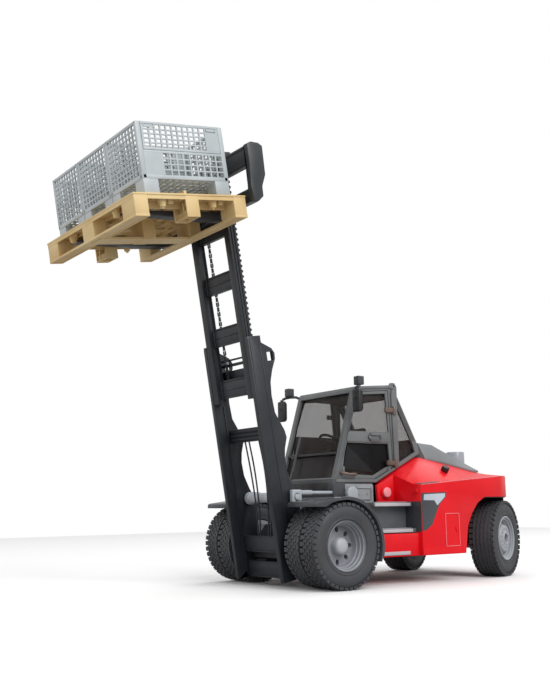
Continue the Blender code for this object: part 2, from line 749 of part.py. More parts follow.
def tilt_rod(sign):
    """Knuckle round the cross tube's end, sleeve and rod running back under the cab."""
    x = 38.4 * sign
    knuckle_block = rounded(side_box(sign, 36.0, 40.8, (-24.6, 70.5), (-14.8, 81.0)), 0.8)
    sleeve = rod((38.0 * sign, -15.4, 78.5), (38.0 * sign, -3.0, 78.5), 2.2, 12)
    bar = rod((38.0 * sign, -4.0, 78.5), (38.0 * sign, 22.0, 78.5), 1.5, 12)
    eye = rod((x - 6.0, *TUBE_PLACE), (x + 6.0, *TUBE_PLACE), 3.3, 20)
    return cut(join(knuckle_block, sleeve, bar), eye)


def lift_latch():
    """The pawl in the left ear that drops behind the rack's teeth."""
    side = [(-9.6, 163.6), (-11.2, 166.0), (-9.6, 168.4), (-2.0, 168.4), (-0.6, 166.0),
            (-2.0, 163.6)]
    pawl = plate("YZ", [side], 25.2, 28.4)
    hub = rod((25.2, -4.0, 166.0), (30.2, -4.0, 166.0), 1.6, 12)
    return join(pawl, hub)


def carriage():
    """Two cross beams between bevelled end plates, and the slide blocks behind them."""
    beams = [box((-CARRIAGE_X - 0.5, BEAM_FRONT, low), (CARRIAGE_X + 0.5, BEAM_REAR, high))
             for low, high in ((286.0, 297.0), (315.6, 331.6))]
    end = [(-32.0, 332.2), (-28.2, 333.8), (-21.0, 333.2), (-17.2, 330.8), (-18.2, 307.0),
           (-22.8, 297.4), (-23.2, 289.2), (-28.2, 285.2), (-32.6, 285.4), (-34.0, 297.0),
           (-32.2, 316.0)]
    plates = [plate("YZ", [end], *across(s, CARRIAGE_X, PLATE_X)) for _, s in SIDES]
    web = [box((s * 17.5 - 3.0, BEAM_FRONT + 2.0, 292.0), (s * 17.5 + 3.0, BEAM_REAR, 320.0))
           for _, s in SIDES]
    slides = [box((s * 17.5 - 3.0, BEAM_REAR - 1.0, 290.0), (s * 17.5 + 3.0, -21.0, 328.0))
              for _, s in SIDES]
    return join(beams[0], beams[1], *plates, *web, *slides)


def fork(sign):
    """An L-shaped fork with a tapered blade, hooked over the upper beam."""
    tip, heel = -128.0, BEAM_FRONT - GAP
    shank_front = heel - 3.2
    side = [(tip, FORK_TOP), (tip, FORK_TOP - 1.8), (-60.0, FORK_TOP - 6.4),
            (shank_front - 1.0, FORK_TOP - 7.0), (heel, FORK_TOP - 5.0), (heel, 331.6 + GAP),
            (BEAM_REAR + 0.4, 331.6 + GAP), (BEAM_REAR + 0.4, 328.0), (BEAM_REAR + 2.0, 328.0),
            (BEAM_REAR + 2.0, 337.0), (BEAM_FRONT - 1.5, 337.0), (shank_front, 333.0),
            (shank_front, FORK_TOP)]
    return plate("YZ", [side], *across(sign, FORK_X - FORK_W / 2, FORK_X + FORK_W / 2))


# ---------------------------------------------------------------- pallet and mesh boxes

PALLET_ROWS = (PALLET_FRONT + 6.2, PALLET_REAR - 6.2)
PALLET_EDGE = PALLET_X - 0.4
PALLET_FOOT = PALLET_TOP - PALLET_H
PALLET_BOARD = 2.2


def pallet():
    """Deck on three rows of blocks; the ribs under it rest on the forks."""
    under = PALLET_TOP - 2.4
    deck = box((-PALLET_X, PALLET_FRONT, under), (PALLET_X, PALLET_REAR, PALLET_TOP))
    middle = (PALLET_FRONT + PALLET_REAR) / 2
    raised = PALLET_FOOT + PALLET_BOARD + GAP
    blocks = []
    for x in (10.0 - PALLET_EDGE, 0.0, PALLET_EDGE - 10.0):
        blocks += [box((x - 10.0, y - 5.8, raised), (x + 10.0, y + 5.8, under + 1.0))
                   for y in PALLET_ROWS]
        low = raised if x == 0.0 else PALLET_FOOT
        blocks.append(box((x - 10.0, middle - 6.0, low), (x + 10.0, middle + 6.0, under + 1.0)))
    ribs = [box((-78.0, y - 1.0, FORK_TOP + GAP), (78.0, y + 1.0, under + 1.0))
            for y in (PALLET_FRONT + 28.0, PALLET_REAR - 28.0)]
    return join(deck, *blocks, *ribs)


def pallet_base():
    """The bottom boards: one under each outer row of blocks, joined by one down the middle."""
    top = PALLET_FOOT + PALLET_BOARD
    boards = [box((-PALLET_EDGE, y - 5.8, PALLET_FOOT), (PALLET_EDGE, y + 5.8, top))
              for y in PALLET_ROWS]
    skid = box((-9.0, PALLET_ROWS[0], PALLET_FOOT), (9.0, PALLET_ROWS[1], top))
    return join(*boards, skid)


CAGE_FLOOR = PALLET_TOP + GAP + CAGE_FOOT
CAGE_MID = CAGE_FLOOR + 22.0
FLAP_REACH = (CAGE_FRONT + 4.0, CAGE_REAR - 4.0)


def cage(centre, flap_side):
    """An open mesh box on four feet; flap_side is the side whose upper half folds down."""
    half = CAGE_X / 2
    tub = box((centre - half, CAGE_FRONT, CAGE_FLOOR), (centre + half, CAGE_REAR, CAGE_TOP))
    hollow = box((centre - half + CAGE_WALL, CAGE_FRONT + CAGE_WALL, CAGE_FLOOR + 1.4),
                 (centre + half - CAGE_WALL, CAGE_REAR - CAGE_WALL, CAGE_TOP + 10.0))
    feet = [box((centre + sx * (half - 6.6) - 6.4, y, PALLET_TOP + GAP),
                (centre + sx * (half - 6.6) + 6.4, y + 13.0, CAGE_FLOOR + 0.6))
            for sx in (-1.0, 1.0) for y in (CAGE_FRONT + 0.4, CAGE_REAR - 13.4)]
    body = cut(join(tub, *feet), hollow)
    if flap_side:
        edge = centre + flap_side * half
        gate = box((edge - 3.0, FLAP_REACH[0], CAGE_MID), (edge + 3.0, FLAP_REACH[1], CAGE_TOP + 5))
        body = cut(body, gate)
    return body


def cage_flap(centre, flap_side):
    """The hinged upper half of a box's long side, drawn from its hinge line."""
    edge = centre + flap_side * CAGE_X / 2
    low, high = across(flap_side, abs(edge) - CAGE_WALL, abs(edge))
    return box((low, FLAP_REACH[0] + GAP, CAGE_MID + GAP), (high, FLAP_REACH[1] - GAP, CAGE_TOP))


# ---------------------------------------------------------------- assembly

def build_body():
    finish("chassis_frame", chassis_frame(), "black", CHASSIS)
    finish("body_shell", body_shell(), "red", CHASSIS)
    finish("base_cover", base_cover(), "grey", CHASSIS)
    finish("engine_hood", engine_hood(), "grey", CHASSIS)
    finish("exhaust_stack", exhaust_stack(), "light_grey", CHASSIS, smooth=True)
    for side, sign in SIDES:
        finish(f"step_{side}", step_insert(sign), "dark_grey", CHASSIS)
        finish(f"fender_{side}", fender(sign), "dark_grey", CHASSIS)


def build_cab():
    finish("cab_frame", cab_frame(), "grey", CHASSIS)
    finish("windscreen", windscreen(), "glass", CHASSIS)
    finish("rear_window", rear_window(), "glass", CHASSIS)
    finish("driver_seat", driver_seat(), "black", CHASSIS)
    finish("dash_console", dash_console(), "black", CHASSIS)
    column = frame_at("steering_axis", WHEEL_PLACE, (-WHEEL_TILT, 0.0, 0.0), CHASSIS)
    finish("steering_wheel", steering_wheel(), "black", column, smooth=True)
    for side, sign in SIDES:
        finish(f"quarter_glass_{side}", quarter_glass(sign), "glass", CHASSIS)
        hinge = (sign * 42.0, 93.0, 0.0)
        door = frame_at(f"door_hinge_{side}", hinge, parent=CHASSIS)
        finish(f"door_frame_{side}", move_to(door_frame(sign), hinge), "grey", door)
        finish(f"door_glass_{side}", move_to(door_glass(sign), hinge), "glass", door)
        finish(f"mirror_arm_{side}", mirror_arm(sign), "dark_grey", CHASSIS)
        swivel = (sign * 55.2, 36.8, 0.0)
        head = frame_at(f"mirror_swivel_{side}", swivel, parent=CHASSIS)
        finish(f"mirror_{side}", move_to(mirror_head(sign), swivel), "black", head)
    knob_axis = frame_at("knob_axis", (0.0, 38.0, 77.5), parent=CHASSIS)
    knob = join(rod((-40.0, 0, 0), (44.0, 0, 0), 1.6, 16),
                rounded(rod((40.6, 0, 0), (45.4, 0, 0), 6.2, 28), 0.6, 60.0))
    finish("tilt_knob", knob, "light_grey", knob_axis, smooth=True)


def build_running_gear():
    finish("front_axle", front_axle(), "steel", CHASSIS, smooth=True)
    for side, sign in SIDES:
        hub = frame_at(f"front_hub_{side}", (0.0, 0.0, TYRE_R), parent=CHASSIS)
        start = sign * (TRACK_OUT - 40.4)
        finish(f"front_rim_{side}", turned(FRONT_RIM, start, sign, 20, closed=False), "grey", hub,
               smooth=True)
        inner_from = TRACK_OUT - 2 * FRONT_TYRE_W - DUAL_GAP
        for place, distance in (("inner", inner_from), ("outer", TRACK_OUT - FRONT_TYRE_W)):
            finish(f"front_tyre_{side}_{place}",
                   turned(tyre_profile(FRONT_TYRE_W), sign * distance, sign), "rubber", hub,
                   smooth=True)
    rear = frame_at("rear_axle_line", (0.0, WHEELBASE, TYRE_R), parent=CHASSIS)
    finish("rear_axle_beam", rear_axle_beam(), "black", rear)
    shift = (STEER_ARM * math.sin(STEER), -STEER_ARM * math.cos(STEER), 0.0)
    link = frame_at("tie_rod_line", shift, parent=rear)
    finish("tie_rod", tie_rod(), "steel", link)
    for side, sign in SIDES:
        pivot = frame_at(f"kingpin_{side}", (sign * KINGPIN_X, 0.0, 0.0), (0.0, 0.0, STEER), rear)
        finish(f"rear_knuckle_{side}", knuckle(sign), "black", pivot)
        finish(f"rear_rim_{side}", turned(REAR_RIM, 0.0, sign, 20, closed=False), "grey", pivot,
               smooth=True)
        width = REAR_TYRE_OUT - REAR_TYRE_IN
        finish(f"rear_tyre_{side}", turned(tyre_profile(width), sign * REAR_TYRE_IN, sign),
               "rubber", pivot, smooth=True)


def build_mast():
    finish("mast_pin", rod((-36.2, PIVOT_Y, PIVOT_Z), (36.2, PIVOT_Y, PIVOT_Z), 2.0), "steel",
           CHASSIS, smooth=True)
    finish("outer_mast", outer_mast(), "black", MAST)
    finish("inner_mast", inner_mast(), "black", MAST)
    finish("tilt_tube", tilt_tube(), "light_grey", MAST, smooth=True)
    latch_axis = (0.0, -4.0, 166.0)
    latch = frame_at("latch_axis", latch_axis, parent=MAST)
    finish("lift_latch", move_to(lift_latch(), latch_axis), "black", latch)
    finish("carriage", carriage(), "dark_grey", MAST)
    for side, sign in SIDES:
        finish(f"chain_{side}", chain(sign), "steel", MAST)
        finish(f"fork_{side}", fork(sign), "black", MAST)
        finish(f"tilt_rod_{side}", tilt_rod(sign), "light_grey", CHASSIS)


def build_load():
    finish("pallet", pallet(), "beige", MAST)
    finish("pallet_base", pallet_base(), "beige", MAST)
    for name, centre, flap_side in (("left", CAGE_PITCH, 1.0), ("middle", 0.0, 0.0),
                                    ("right", -CAGE_PITCH, -1.0)):
        finish(f"cage_{name}", cage(centre, flap_side), "cage_grey", MAST)
        if flap_side:
            hinge = (centre + flap_side * CAGE_X / 2, 0.0, CAGE_MID)
            axis = frame_at(f"flap_hinge_{name}", hinge, parent=MAST)
            finish(f"cage_flap_{name}", move_to(cage_flap(centre, flap_side), hinge),
                   "cage_grey", axis)


build_body()
build_cab()
build_running_gear()
build_mast()
build_load()
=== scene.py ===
"""The visible toy forklift: moulded plastic pieces laid over the exact model.

Pieces are drawn in millimetres about the part of the truck they belong to (the chassis, the
mast, a wheel), then placed in the model's frame with their meshes.
"""
import json
import math

import bmesh
import bpy
from mathutils import Matrix, Vector


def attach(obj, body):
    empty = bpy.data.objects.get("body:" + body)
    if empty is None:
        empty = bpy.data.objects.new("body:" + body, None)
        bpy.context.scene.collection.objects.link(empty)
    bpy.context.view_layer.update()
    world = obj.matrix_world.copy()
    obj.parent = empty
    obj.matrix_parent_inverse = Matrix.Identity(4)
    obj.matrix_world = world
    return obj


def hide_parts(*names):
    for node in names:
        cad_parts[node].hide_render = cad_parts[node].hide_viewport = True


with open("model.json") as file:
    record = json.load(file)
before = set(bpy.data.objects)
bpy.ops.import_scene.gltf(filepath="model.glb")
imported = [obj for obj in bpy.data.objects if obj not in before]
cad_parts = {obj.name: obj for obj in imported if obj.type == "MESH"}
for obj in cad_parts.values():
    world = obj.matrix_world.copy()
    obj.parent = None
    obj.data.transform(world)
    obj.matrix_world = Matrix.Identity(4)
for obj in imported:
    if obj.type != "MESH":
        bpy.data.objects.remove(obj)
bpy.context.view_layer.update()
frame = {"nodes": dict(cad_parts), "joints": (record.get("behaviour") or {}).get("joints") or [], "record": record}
SIDES = (("left", 1.0), ("right", -1.0))


# ---------------------------------------------------------------- frames

JOINTS = {joint["name"]: joint for joint in frame["joints"]}
MM = 0.001
SCALE = Matrix.Scale(MM, 4)


def joint_place(name):
    return Vector(JOINTS[name]["pos_m"])


def at(place, turn=0.0, axis="X"):
    return Matrix.Translation(place) @ Matrix.Rotation(turn, 4, axis) @ SCALE


LIFT = JOINTS["mast_lift"]["axis"]
FRONT_HUB = joint_place("front_wheel_left_spin")
CHASSIS = at((0.0, FRONT_HUB.y, 0.0))
MAST = at(joint_place("mast_tilt"), math.atan2(-LIFT[1], LIFT[2]))
HUB = at(FRONT_HUB)


def steered(side):
    axle = JOINTS[f"rear_wheel_{side}_spin"]
    return at(Vector(axle["pos_m"]), math.atan2(axle["axis"][1], axle["axis"][0]), "Z")


# ---------------------------------------------------------------- bench tools

SEAM = 0.002
HAIR = 1e-6
SQUARE_ON = 0.9
FLAT = math.radians(0.5)


def let_go():
    """Object mode, with nothing selected."""
    held = bpy.context.view_layer.objects.active
    if held and held.mode != "OBJECT":
        bpy.ops.object.mode_set(mode="OBJECT")
    bpy.ops.object.select_all(action="DESELECT")


def hold(item):
    let_go()
    item.select_set(True)
    bpy.context.view_layer.objects.active = item
    return item


def settle(name):
    """Name the new piece and put its place into its mesh."""
    item = bpy.context.view_layer.objects.active
    item.name = item.data.name = name
    bpy.ops.object.transform_apply(location=True, rotation=True, scale=True)
    return item


def block(name, low, high):
    let_go()
    low, high = Vector(low), Vector(high)
    bpy.ops.mesh.primitive_cube_add(size=1.0, location=(low + high) / 2, scale=high - low)
    return settle(name)


def side_block(name, sign, near, far, low, high):
    """A block on one side, from near to far off the middle; low and high are (y, z)."""
    x_low, x_high = sorted((sign * near, sign * far))
    return block(name, (x_low, *low), (x_high, *high))


def bar(name, start, end, radius, sides=16, tip=None):
    let_go()
    start, end = Vector(start), Vector(end)
    turn = (end - start).to_track_quat("Z", "Y").to_euler()
    bpy.ops.mesh.primitive_cone_add(vertices=sides, radius1=radius,
                                    radius2=radius if tip is None else tip,
                                    depth=(end - start).length,
                                    location=(start + end) / 2, rotation=turn)
    return settle(name)


def peg(name, sign, near, far, middle, radius, sides=16, tip=None):
    """A bar that points out to one side at a (y, z) place."""
    return bar(name, (sign * near, *middle), (sign * far, *middle), radius, sides, tip)


SPREAD = {"X": lambda w, u, v: (w, u, v), "Y": lambda w, u, v: (u, w, v),
          "Z": lambda w, u, v: (u, v, w)}


def plate(name, outline, low, high, across="X"):
    """A flat outline drawn out from low to high along one axis."""
    let_go()
    bpy.ops.mesh.primitive_circle_add(vertices=len(outline), radius=1.0, fill_type="NGON")
    item = settle(name)
    for corner, (u, v) in zip(item.data.vertices, outline):
        corner.co = SPREAD[across](low, u, v)
    edit(item)
    bpy.ops.mesh.select_all(action="SELECT")
    step = SPREAD[across](high - low, 0.0, 0.0)
    bpy.ops.mesh.extrude_region_move(TRANSFORM_OT_translate={"value": step})
    return face_out(item)


def side_plate(name, sign, near, far, outline):
    """A flat outline of (y, z) corners on one side, from near to far off the middle."""
    return plate(name, outline, *sorted((sign * near, sign * far)))


def edit(item):
    hold(item)
    bpy.ops.object.mode_set(mode="EDIT")


def face_out(item):
    """Close the seams, turn the faces outward and leave edit mode."""
    bpy.ops.mesh.select_all(action="SELECT")
    bpy.ops.mesh.remove_doubles(threshold=SEAM)
    bpy.ops.mesh.normals_make_consistent(inside=False)
    bpy.ops.object.mode_set(mode="OBJECT")
    return item


def pick_faces(item, wanted):
    """Select, in edit mode, the faces whose middle and normal are wanted."""
    bpy.ops.mesh.select_mode(type="FACE")
    bpy.ops.mesh.select_all(action="DESELECT")
    shape = bmesh.from_edit_mesh(item.data)
    for face in shape.faces:
        if wanted(face.calc_center_median(), face.normal):
            face.select_set(True)
    bmesh.update_edit_mesh(item.data)


def facing(axis, sign):
    """The faces that look along an axis, or against it with sign -1."""
    return lambda middle, normal: normal[axis] * sign > SQUARE_ON


def sunk(item, wanted, rim, depth):
    """Inset the wanted faces and push them in (depth below 0) or pull them out."""
    edit(item)
    pick_faces(item, wanted)
    bpy.ops.mesh.inset(thickness=rim, depth=0.0, use_individual=True)
    bpy.ops.mesh.extrude_region_shrink_fatten(TRANSFORM_OT_shrink_fatten={"value": depth})
    bpy.ops.object.mode_set(mode="OBJECT")
    return item


def tapered(item, axis, level, factor):
    """Draw in, across one axis, the end of a piece that lies above a level."""
    edit(item)
    pick_faces(item, lambda middle, normal: middle[axis] > level
               and normal[axis] > SQUARE_ON)
    keep = [factor] * 3
    keep[axis] = 1.0
    bpy.ops.transform.resize(value=keep)
    bpy.ops.object.mode_set(mode="OBJECT")
    return item


def turned(name, profile, steps, start=0.0, side=1.0):
    """A section of (radius, distance from start) carried round the X axis."""
    let_go()
    bpy.ops.mesh.primitive_circle_add(vertices=len(profile), radius=1.0, fill_type="NOTHING")
    item = settle(name)
    for corner, (radius, distance) in zip(item.data.vertices, profile):
        corner.co = (side * (start + distance), 0.0, radius)
    edit(item)
    bpy.ops.mesh.select_mode(type="EDGE")
    bpy.ops.mesh.select_all(action="DESELECT")
    shape = bmesh.from_edit_mesh(item.data)
    for edge in shape.edges:
        edge.select_set(all(corner.co.z < HAIR for corner in edge.verts))
    bmesh.update_edit_mesh(item.data)
    bpy.ops.mesh.delete(type="EDGE")
    bpy.ops.mesh.select_all(action="SELECT")
    bpy.ops.mesh.spin(steps=steps, angle=2 * math.pi, center=(0, 0, 0), axis=(1, 0, 0))
    return face_out(item)


def ringed(item, count, centre=(0.0, 0.0, 0.0), axis=(1, 0, 0)):
    """Copies of a piece at even steps all round an axis."""
    edit(item)
    bpy.ops.mesh.select_all(action="SELECT")
    bpy.ops.mesh.spin(steps=count - 1, dupli=True, angle=2 * math.pi * (count - 1) / count,
                      center=centre, axis=axis)
    bpy.ops.object.mode_set(mode="OBJECT")
    return item


def modify(item, kind, **settings):
    """Add a modifier, set it and apply it."""
    hold(item)
    bpy.ops.object.modifier_add(type=kind)
    step = item.modifiers[-1]
    for key, value in settings.items():
        setattr(step, key, value)
    bpy.ops.object.modifier_apply(modifier=step.name)
    return item


def rounded(item, width, segments=2, angle=30.0):
    return modify(item, "BEVEL", width=width, segments=segments, limit_method="ANGLE",
                  angle_limit=math.radians(angle))


def repeated(item, count, step):
    return modify(item, "ARRAY", count=count, use_relative_offset=False,
                  use_constant_offset=True, constant_offset_displace=step)


def cut(item, *tools):
    for tool in tools:
        modify(item, "BOOLEAN", operation="DIFFERENCE", solver="EXACT", object=tool)
        bpy.data.objects.remove(tool, do_unlink=True)
    return item


def joined(name, *items):
    let_go()
    for item in items:
        item.select_set(True)
    bpy.context.view_layer.objects.active = items[0]
    if len(items) > 1:
        bpy.ops.object.join()
    items[0].name = items[0].data.name = name
    return items[0]


def hose(name, points, radius, sides=3):
    """A bent tube through points, made a mesh."""
    let_go()
    curve = bpy.data.curves.new(name, "CURVE")
    curve.dimensions = "3D"
    curve.bevel_depth = radius
    curve.bevel_resolution = sides
    curve.resolution_u = 6
    curve.use_fill_caps = True
    line = curve.splines.new("BEZIER")
    line.bezier_points.add(len(points) - 1)
    for point, place in zip(line.bezier_points, points):
        point.co = place
        point.handle_left_type = point.handle_right_type = "AUTO"
    item = bpy.data.objects.new(name, curve)
    bpy.context.scene.collection.objects.link(item)
    hold(item)
    bpy.ops.object.convert(target="MESH")
    return settle(name)


def finished(item, where, body, slot, look=None, nodes=(), smooth=32.0):
    """Place a piece, shade it, and give it its finish and the body it rides on."""
    item.matrix_world = where
    hold(item)
    bpy.ops.object.transform_apply(location=True, rotation=True, scale=True)
    bpy.ops.object.shade_smooth_by_angle(angle=math.radians(smooth))
    item.data.materials.clear()
    item.data.materials.append(LOOKS[look or slot])
    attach(item, body)
    if nodes:
        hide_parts(*nodes)
    return item


BODY_OF = {node: body for body, nodes in frame["record"]["behaviour"]["bodies"].items()
           for node in nodes}
SLOT_OF = {row["node"]: row["material_slot"] for row in frame["record"]["subparts"]}


def carried(node, width, look=None, segments=2, angle=30.0):
    """The exact model's piece with its edges broken, standing for it."""
    let_go()
    item = bpy.data.objects.new(f"{node}_moulding", frame["nodes"][node].data.copy())
    bpy.context.scene.collection.objects.link(item)
    edit(item)
    bpy.ops.mesh.select_all(action="SELECT")
    bpy.ops.mesh.remove_doubles(threshold=HAIR)
    bpy.ops.mesh.dissolve_limited(angle_limit=FLAT)
    bpy.ops.object.mode_set(mode="OBJECT")
    item.data.name = item.name
    if width:
        rounded(item, width * MM, segments, angle)
    return finished(item, Matrix.Identity(4), BODY_OF[node], SLOT_OF[node], look, (node,))


# ---------------------------------------------------------------- finishes

def colour(red, green, blue):
    """A colour named as on a screen, made linear."""
    return tuple(c / 255 / 12.92 if c < 11 else ((c / 255 + 0.055) / 1.055) ** 2.4
                 for c in (red, green, blue)) + (1.0,)


def noise(tree, place, scale, detail=3.0, rough=0.55):
    node = tree.nodes.new("ShaderNodeTexNoise")
    node.inputs["Scale"].default_value = scale
    node.inputs["Detail"].default_value = detail
    node.inputs["Roughness"].default_value = rough
    tree.links.new(place, node.inputs["Vector"])
    return node.outputs["Fac"]


def ranged(tree, value, low, high, from_low=0.3, from_high=0.7):
    node = tree.nodes.new("ShaderNodeMapRange")
    for key, number in (("From Min", from_low), ("From Max", from_high), ("To Min", low),
                        ("To Max", high)):
        node.inputs[key].default_value = number
    tree.links.new(value, node.inputs["Value"])
    return node.outputs["Result"]


def moulded(name, deep, pale, rough=(0.38, 0.52), cloud=26.0, grain=2600.0, depth=0.12,
            coat=0.0, metal=0.0, alpha=1.0, specular=0.5):
    """Plastic with a slow drift of tone, a fine moulded grain and uneven gloss."""
    look = bpy.data.materials.new(name)
    look.use_nodes = True
    tree = look.node_tree
    shader = tree.nodes["Principled BSDF"]
    place = tree.nodes.new("ShaderNodeTexCoord").outputs["Object"]
    drift = noise(tree, place, cloud, 4.0)
    tone = tree.nodes.new("ShaderNodeValToRGB")
    for stop, position, shade in zip(tone.color_ramp.elements, (0.32, 0.68), (deep, pale)):
        stop.position = position
        stop.color = shade
    tree.links.new(drift, tone.inputs["Fac"])
    tree.links.new(tone.outputs["Color"], shader.inputs["Base Color"])
    fine = noise(tree, place, grain, 2.0)
    smear = noise(tree, place, cloud * 5.0, 3.0, 0.7)
    tree.links.new(ranged(tree, smear, *rough), shader.inputs["Roughness"])
    bump = tree.nodes.new("ShaderNodeBump")
    bump.inputs["Strength"].default_value = depth
    bump.inputs["Distance"].default_value = 0.0002
    tree.links.new(fine, bump.inputs["Height"])
    tree.links.new(bump.outputs["Normal"], shader.inputs["Normal"])
    shader.inputs["Metallic"].default_value = metal
    shader.inputs["Alpha"].default_value = alpha
    shader.inputs["Coat Weight"].default_value = coat
    shader.inputs["Specular IOR Level"].default_value = specular
    look.diffuse_color = pale
    return look


LOOKS = {
    "red_body": moulded("red_gloss", colour(226, 8, 24), colour(238, 16, 32), (0.28, 0.38),
                        grain=1800.0, depth=0.03, specular=0.3),
    "panel_grey": moulded("panel_grey", colour(140, 144, 147), colour(156, 160, 163)),
    "hood_grey": moulded("hood_grey", colour(112, 116, 118), colour(128, 132, 134)),
    "cab_grey": moulded("cab_grey", colour(98, 101, 102), colour(114, 117, 118)),
    "trim_grey": moulded("trim_grey", colour(82, 85, 89), colour(98, 101, 105)),
    "light_plastic": moulded("light_plastic", colour(160, 166, 172), colour(184, 190, 196),
                             (0.3, 0.45)),
    "cap_silver": moulded("cap_silver", colour(160, 163, 168), colour(182, 185, 190),
                          (0.26, 0.4)),
    "black_plastic": moulded("black_plastic", colour(28, 28, 31), colour(40, 40, 44),
                             (0.36, 0.54)),
    "mast_black": moulded("mast_black", colour(32, 34, 39), colour(44, 47, 53), (0.3, 0.46)),
    "carriage_grey": moulded("carriage_grey", colour(40, 43, 46), colour(54, 57, 60),
                             (0.36, 0.52)),
    "tinted_glass": moulded("tinted_glass", colour(56, 48, 45), colour(66, 57, 53),
                            (0.05, 0.08), depth=0.0, alpha=0.32, specular=0.25),
    "rim_grey": moulded("rim_grey", colour(128, 131, 137), colour(148, 151, 157), (0.28, 0.42)),
    "rim_silver": moulded("rim_silver", colour(148, 151, 157), colour(170, 173, 179),
                          (0.26, 0.4)),
    "tyre_rubber": moulded("tyre_rubber", colour(58, 59, 62), colour(72, 73, 77), (0.5, 0.7),
                           grain=1500.0, depth=0.25),
    "steel": moulded("steel", colour(150, 150, 154), colour(180, 180, 184), (0.25, 0.4),
                     metal=0.9),
    "pallet_beige": moulded("pallet_beige", colour(206, 174, 118), colour(222, 196, 144),
                            (0.45, 0.6)),
    "cage_grey": moulded("cage_grey", colour(164, 171, 174), colour(186, 193, 196),
                         (0.34, 0.48)),
    "silver_strip": moulded("silver_strip", colour(176, 172, 176), colour(200, 196, 199),
                            (0.28, 0.42)),
    "dark_panel": moulded("dark_panel", colour(60, 62, 66), colour(74, 76, 80), (0.25, 0.36)),
    "pale_slash": moulded("pale_slash", colour(178, 186, 200), colour(196, 203, 214),
                          (0.25, 0.36)),
    # Pale red: painted highlight on the shoulder and access door ridges.
    "highlight_red": moulded("highlight_red", colour(234, 104, 112), colour(244, 132, 140), (0.2, 0.32)),
    "clear_brown": moulded("clear_brown", colour(96, 78, 70), colour(130, 110, 100),
                           (0.08, 0.16), alpha=0.8),
    "clear_stack": moulded("clear_stack", colour(150, 156, 166), colour(176, 182, 192),
                           (0.08, 0.2), alpha=0.8),
    # Pale pink: painted highlight on the red step lamp lens.
    "lamp_highlight": moulded("lamp_highlight", colour(246, 150, 158), colour(255, 176, 182),
                         (0.12, 0.2)),
}


# ---------------------------------------------------------------- wheels

TYRE_R = 35.0
CARCASS_R = 34.2
STUD_FOOT, LUG_FOOT, LUG_TOP = 33.6, 32.4, TYRE_R - 0.25
TREAD_BLOCKS = 42
TREAD_DRAW = 0.86
FRONT_INNER, FRONT_OUTER, FRONT_WIDTH = 40.5, 61.3, 19.6
REAR_INNER, REAR_WIDTH = -10.8, 24.0
VENTS, VENT_R = 8, 13.2
BOLTS, BOLT_R = 14, 9.0


def tyre_body(name, start, width, side):
    """A tyre without its tread: bead, sidewall with a raised ring, and crown."""
    half = [(20.6, 1.5), (21.4, 0.6), (22.8, 0.3), (23.4, 0.7), (24.6, 0.4), (27.4, 0.1),
            (30.0, 0.5), (31.8, 1.1), (33.3, 2.3), (CARCASS_R, 4.0)]
    profile = half + [(radius, width - distance) for radius, distance in reversed(half)]
    return turned(name, profile, 64, start, side)


def tread_row(name, x, width, length, shift, skew=0.0, low=STUD_FOOT, high=TYRE_R):
    """One row of small blocks round a tyre, each drawn in towards its top."""
    stud = block(name, (x - width / 2, -length / 2, low), (x + width / 2, length / 2, high))
    tapered(stud, 2, (low + high) / 2, TREAD_DRAW)
    for corner in stud.data.vertices:
        corner.co.y += skew * (corner.co.x - x)
    stud.data.transform(Matrix.Rotation(shift * 2 * math.pi / TREAD_BLOCKS, 4, "X"))
    return ringed(stud, TREAD_BLOCKS)


def front_tyre(side, sign, place, start):
    """Four staggered rows of studs between two rows of shoulder lugs."""
    rows = [tyre_body("tyre", start, FRONT_WIDTH, sign)]
    centre = sign * (start + FRONT_WIDTH / 2)
    for k, offset in enumerate((-4.8, -1.6, 1.6, 4.8)):
        rows.append(tread_row("studs", centre + sign * offset, 2.3, 3.1, 0.5 * (k % 2),
                              0.35 * sign))
    for offset, shift in ((-7.9, 0.0), (7.9, 0.5)):
        rows.append(tread_row("lugs", centre + sign * offset, 3.0, 4.1, shift,
                              low=LUG_FOOT, high=LUG_TOP))
    finished(joined(f"dual_tyre_{side}_{place}", *rows), HUB, f"front_wheel_{side}",
             "tyre_rubber", nodes=(f"front_tyre_{side}_{place}",))


def front_rim(side, sign):
    """Deep dish with three steps, eight oval vents and a domed cap."""
    start, body = FRONT_INNER, f"front_wheel_{side}"
    profile = [(0.0, 33.9), (4.6, 33.3), (6.3, 31.0), (6.4, 27.2), (7.6, 26.4), (15.6, 26.0),
               (16.2, 26.8), (16.6, 31.0), (17.6, 31.4), (17.8, 34.2), (18.7, 34.6),
               (18.9, 37.4), (19.7, 37.8), (20.0, 39.4), (20.4, 39.0), (20.4, 1.0),
               (17.0, 0.6), (12.0, 3.0), (3.0, 3.0), (3.0, 30.0), (0.0, 30.0)]
    dish = turned(f"dual_rim_{side}", profile, 48, start, sign)
    vent = peg("vent", sign, start + 21.0, start + 36.0, (0.0, VENT_R), 1.0)
    edit(vent)
    bpy.ops.mesh.select_all(action="SELECT")
    bpy.ops.transform.resize(value=(1.0, 1.8, 2.5))
    bpy.ops.object.mode_set(mode="OBJECT")
    cut(dish, ringed(vent, VENTS))
    cap = turned(f"hub_cap_{side}",
                 [(0.0, 34.6), (2.6, 34.5), (4.8, 34.0), (6.2, 33.0), (6.9, 31.4), (7.0, 26.9),
                  (6.6, 26.9), (6.5, 31.2), (5.0, 33.5), (0.0, 34.0)], 40, start, sign)
    finished(cap, HUB, body, "light_plastic", "cap_silver")
    # Black ring behind the vents: painted shade seen through the holes.
    floor = turned(f"vent_shade_{side}",
                   [(10.2, 20.0), (16.0, 20.0), (16.0, 22.6), (10.2, 22.6)], 40, start, sign)
    finished(floor, HUB, body, "black_plastic")
    finished(dish, HUB, body, "rim_grey", nodes=(f"front_rim_{side}",))


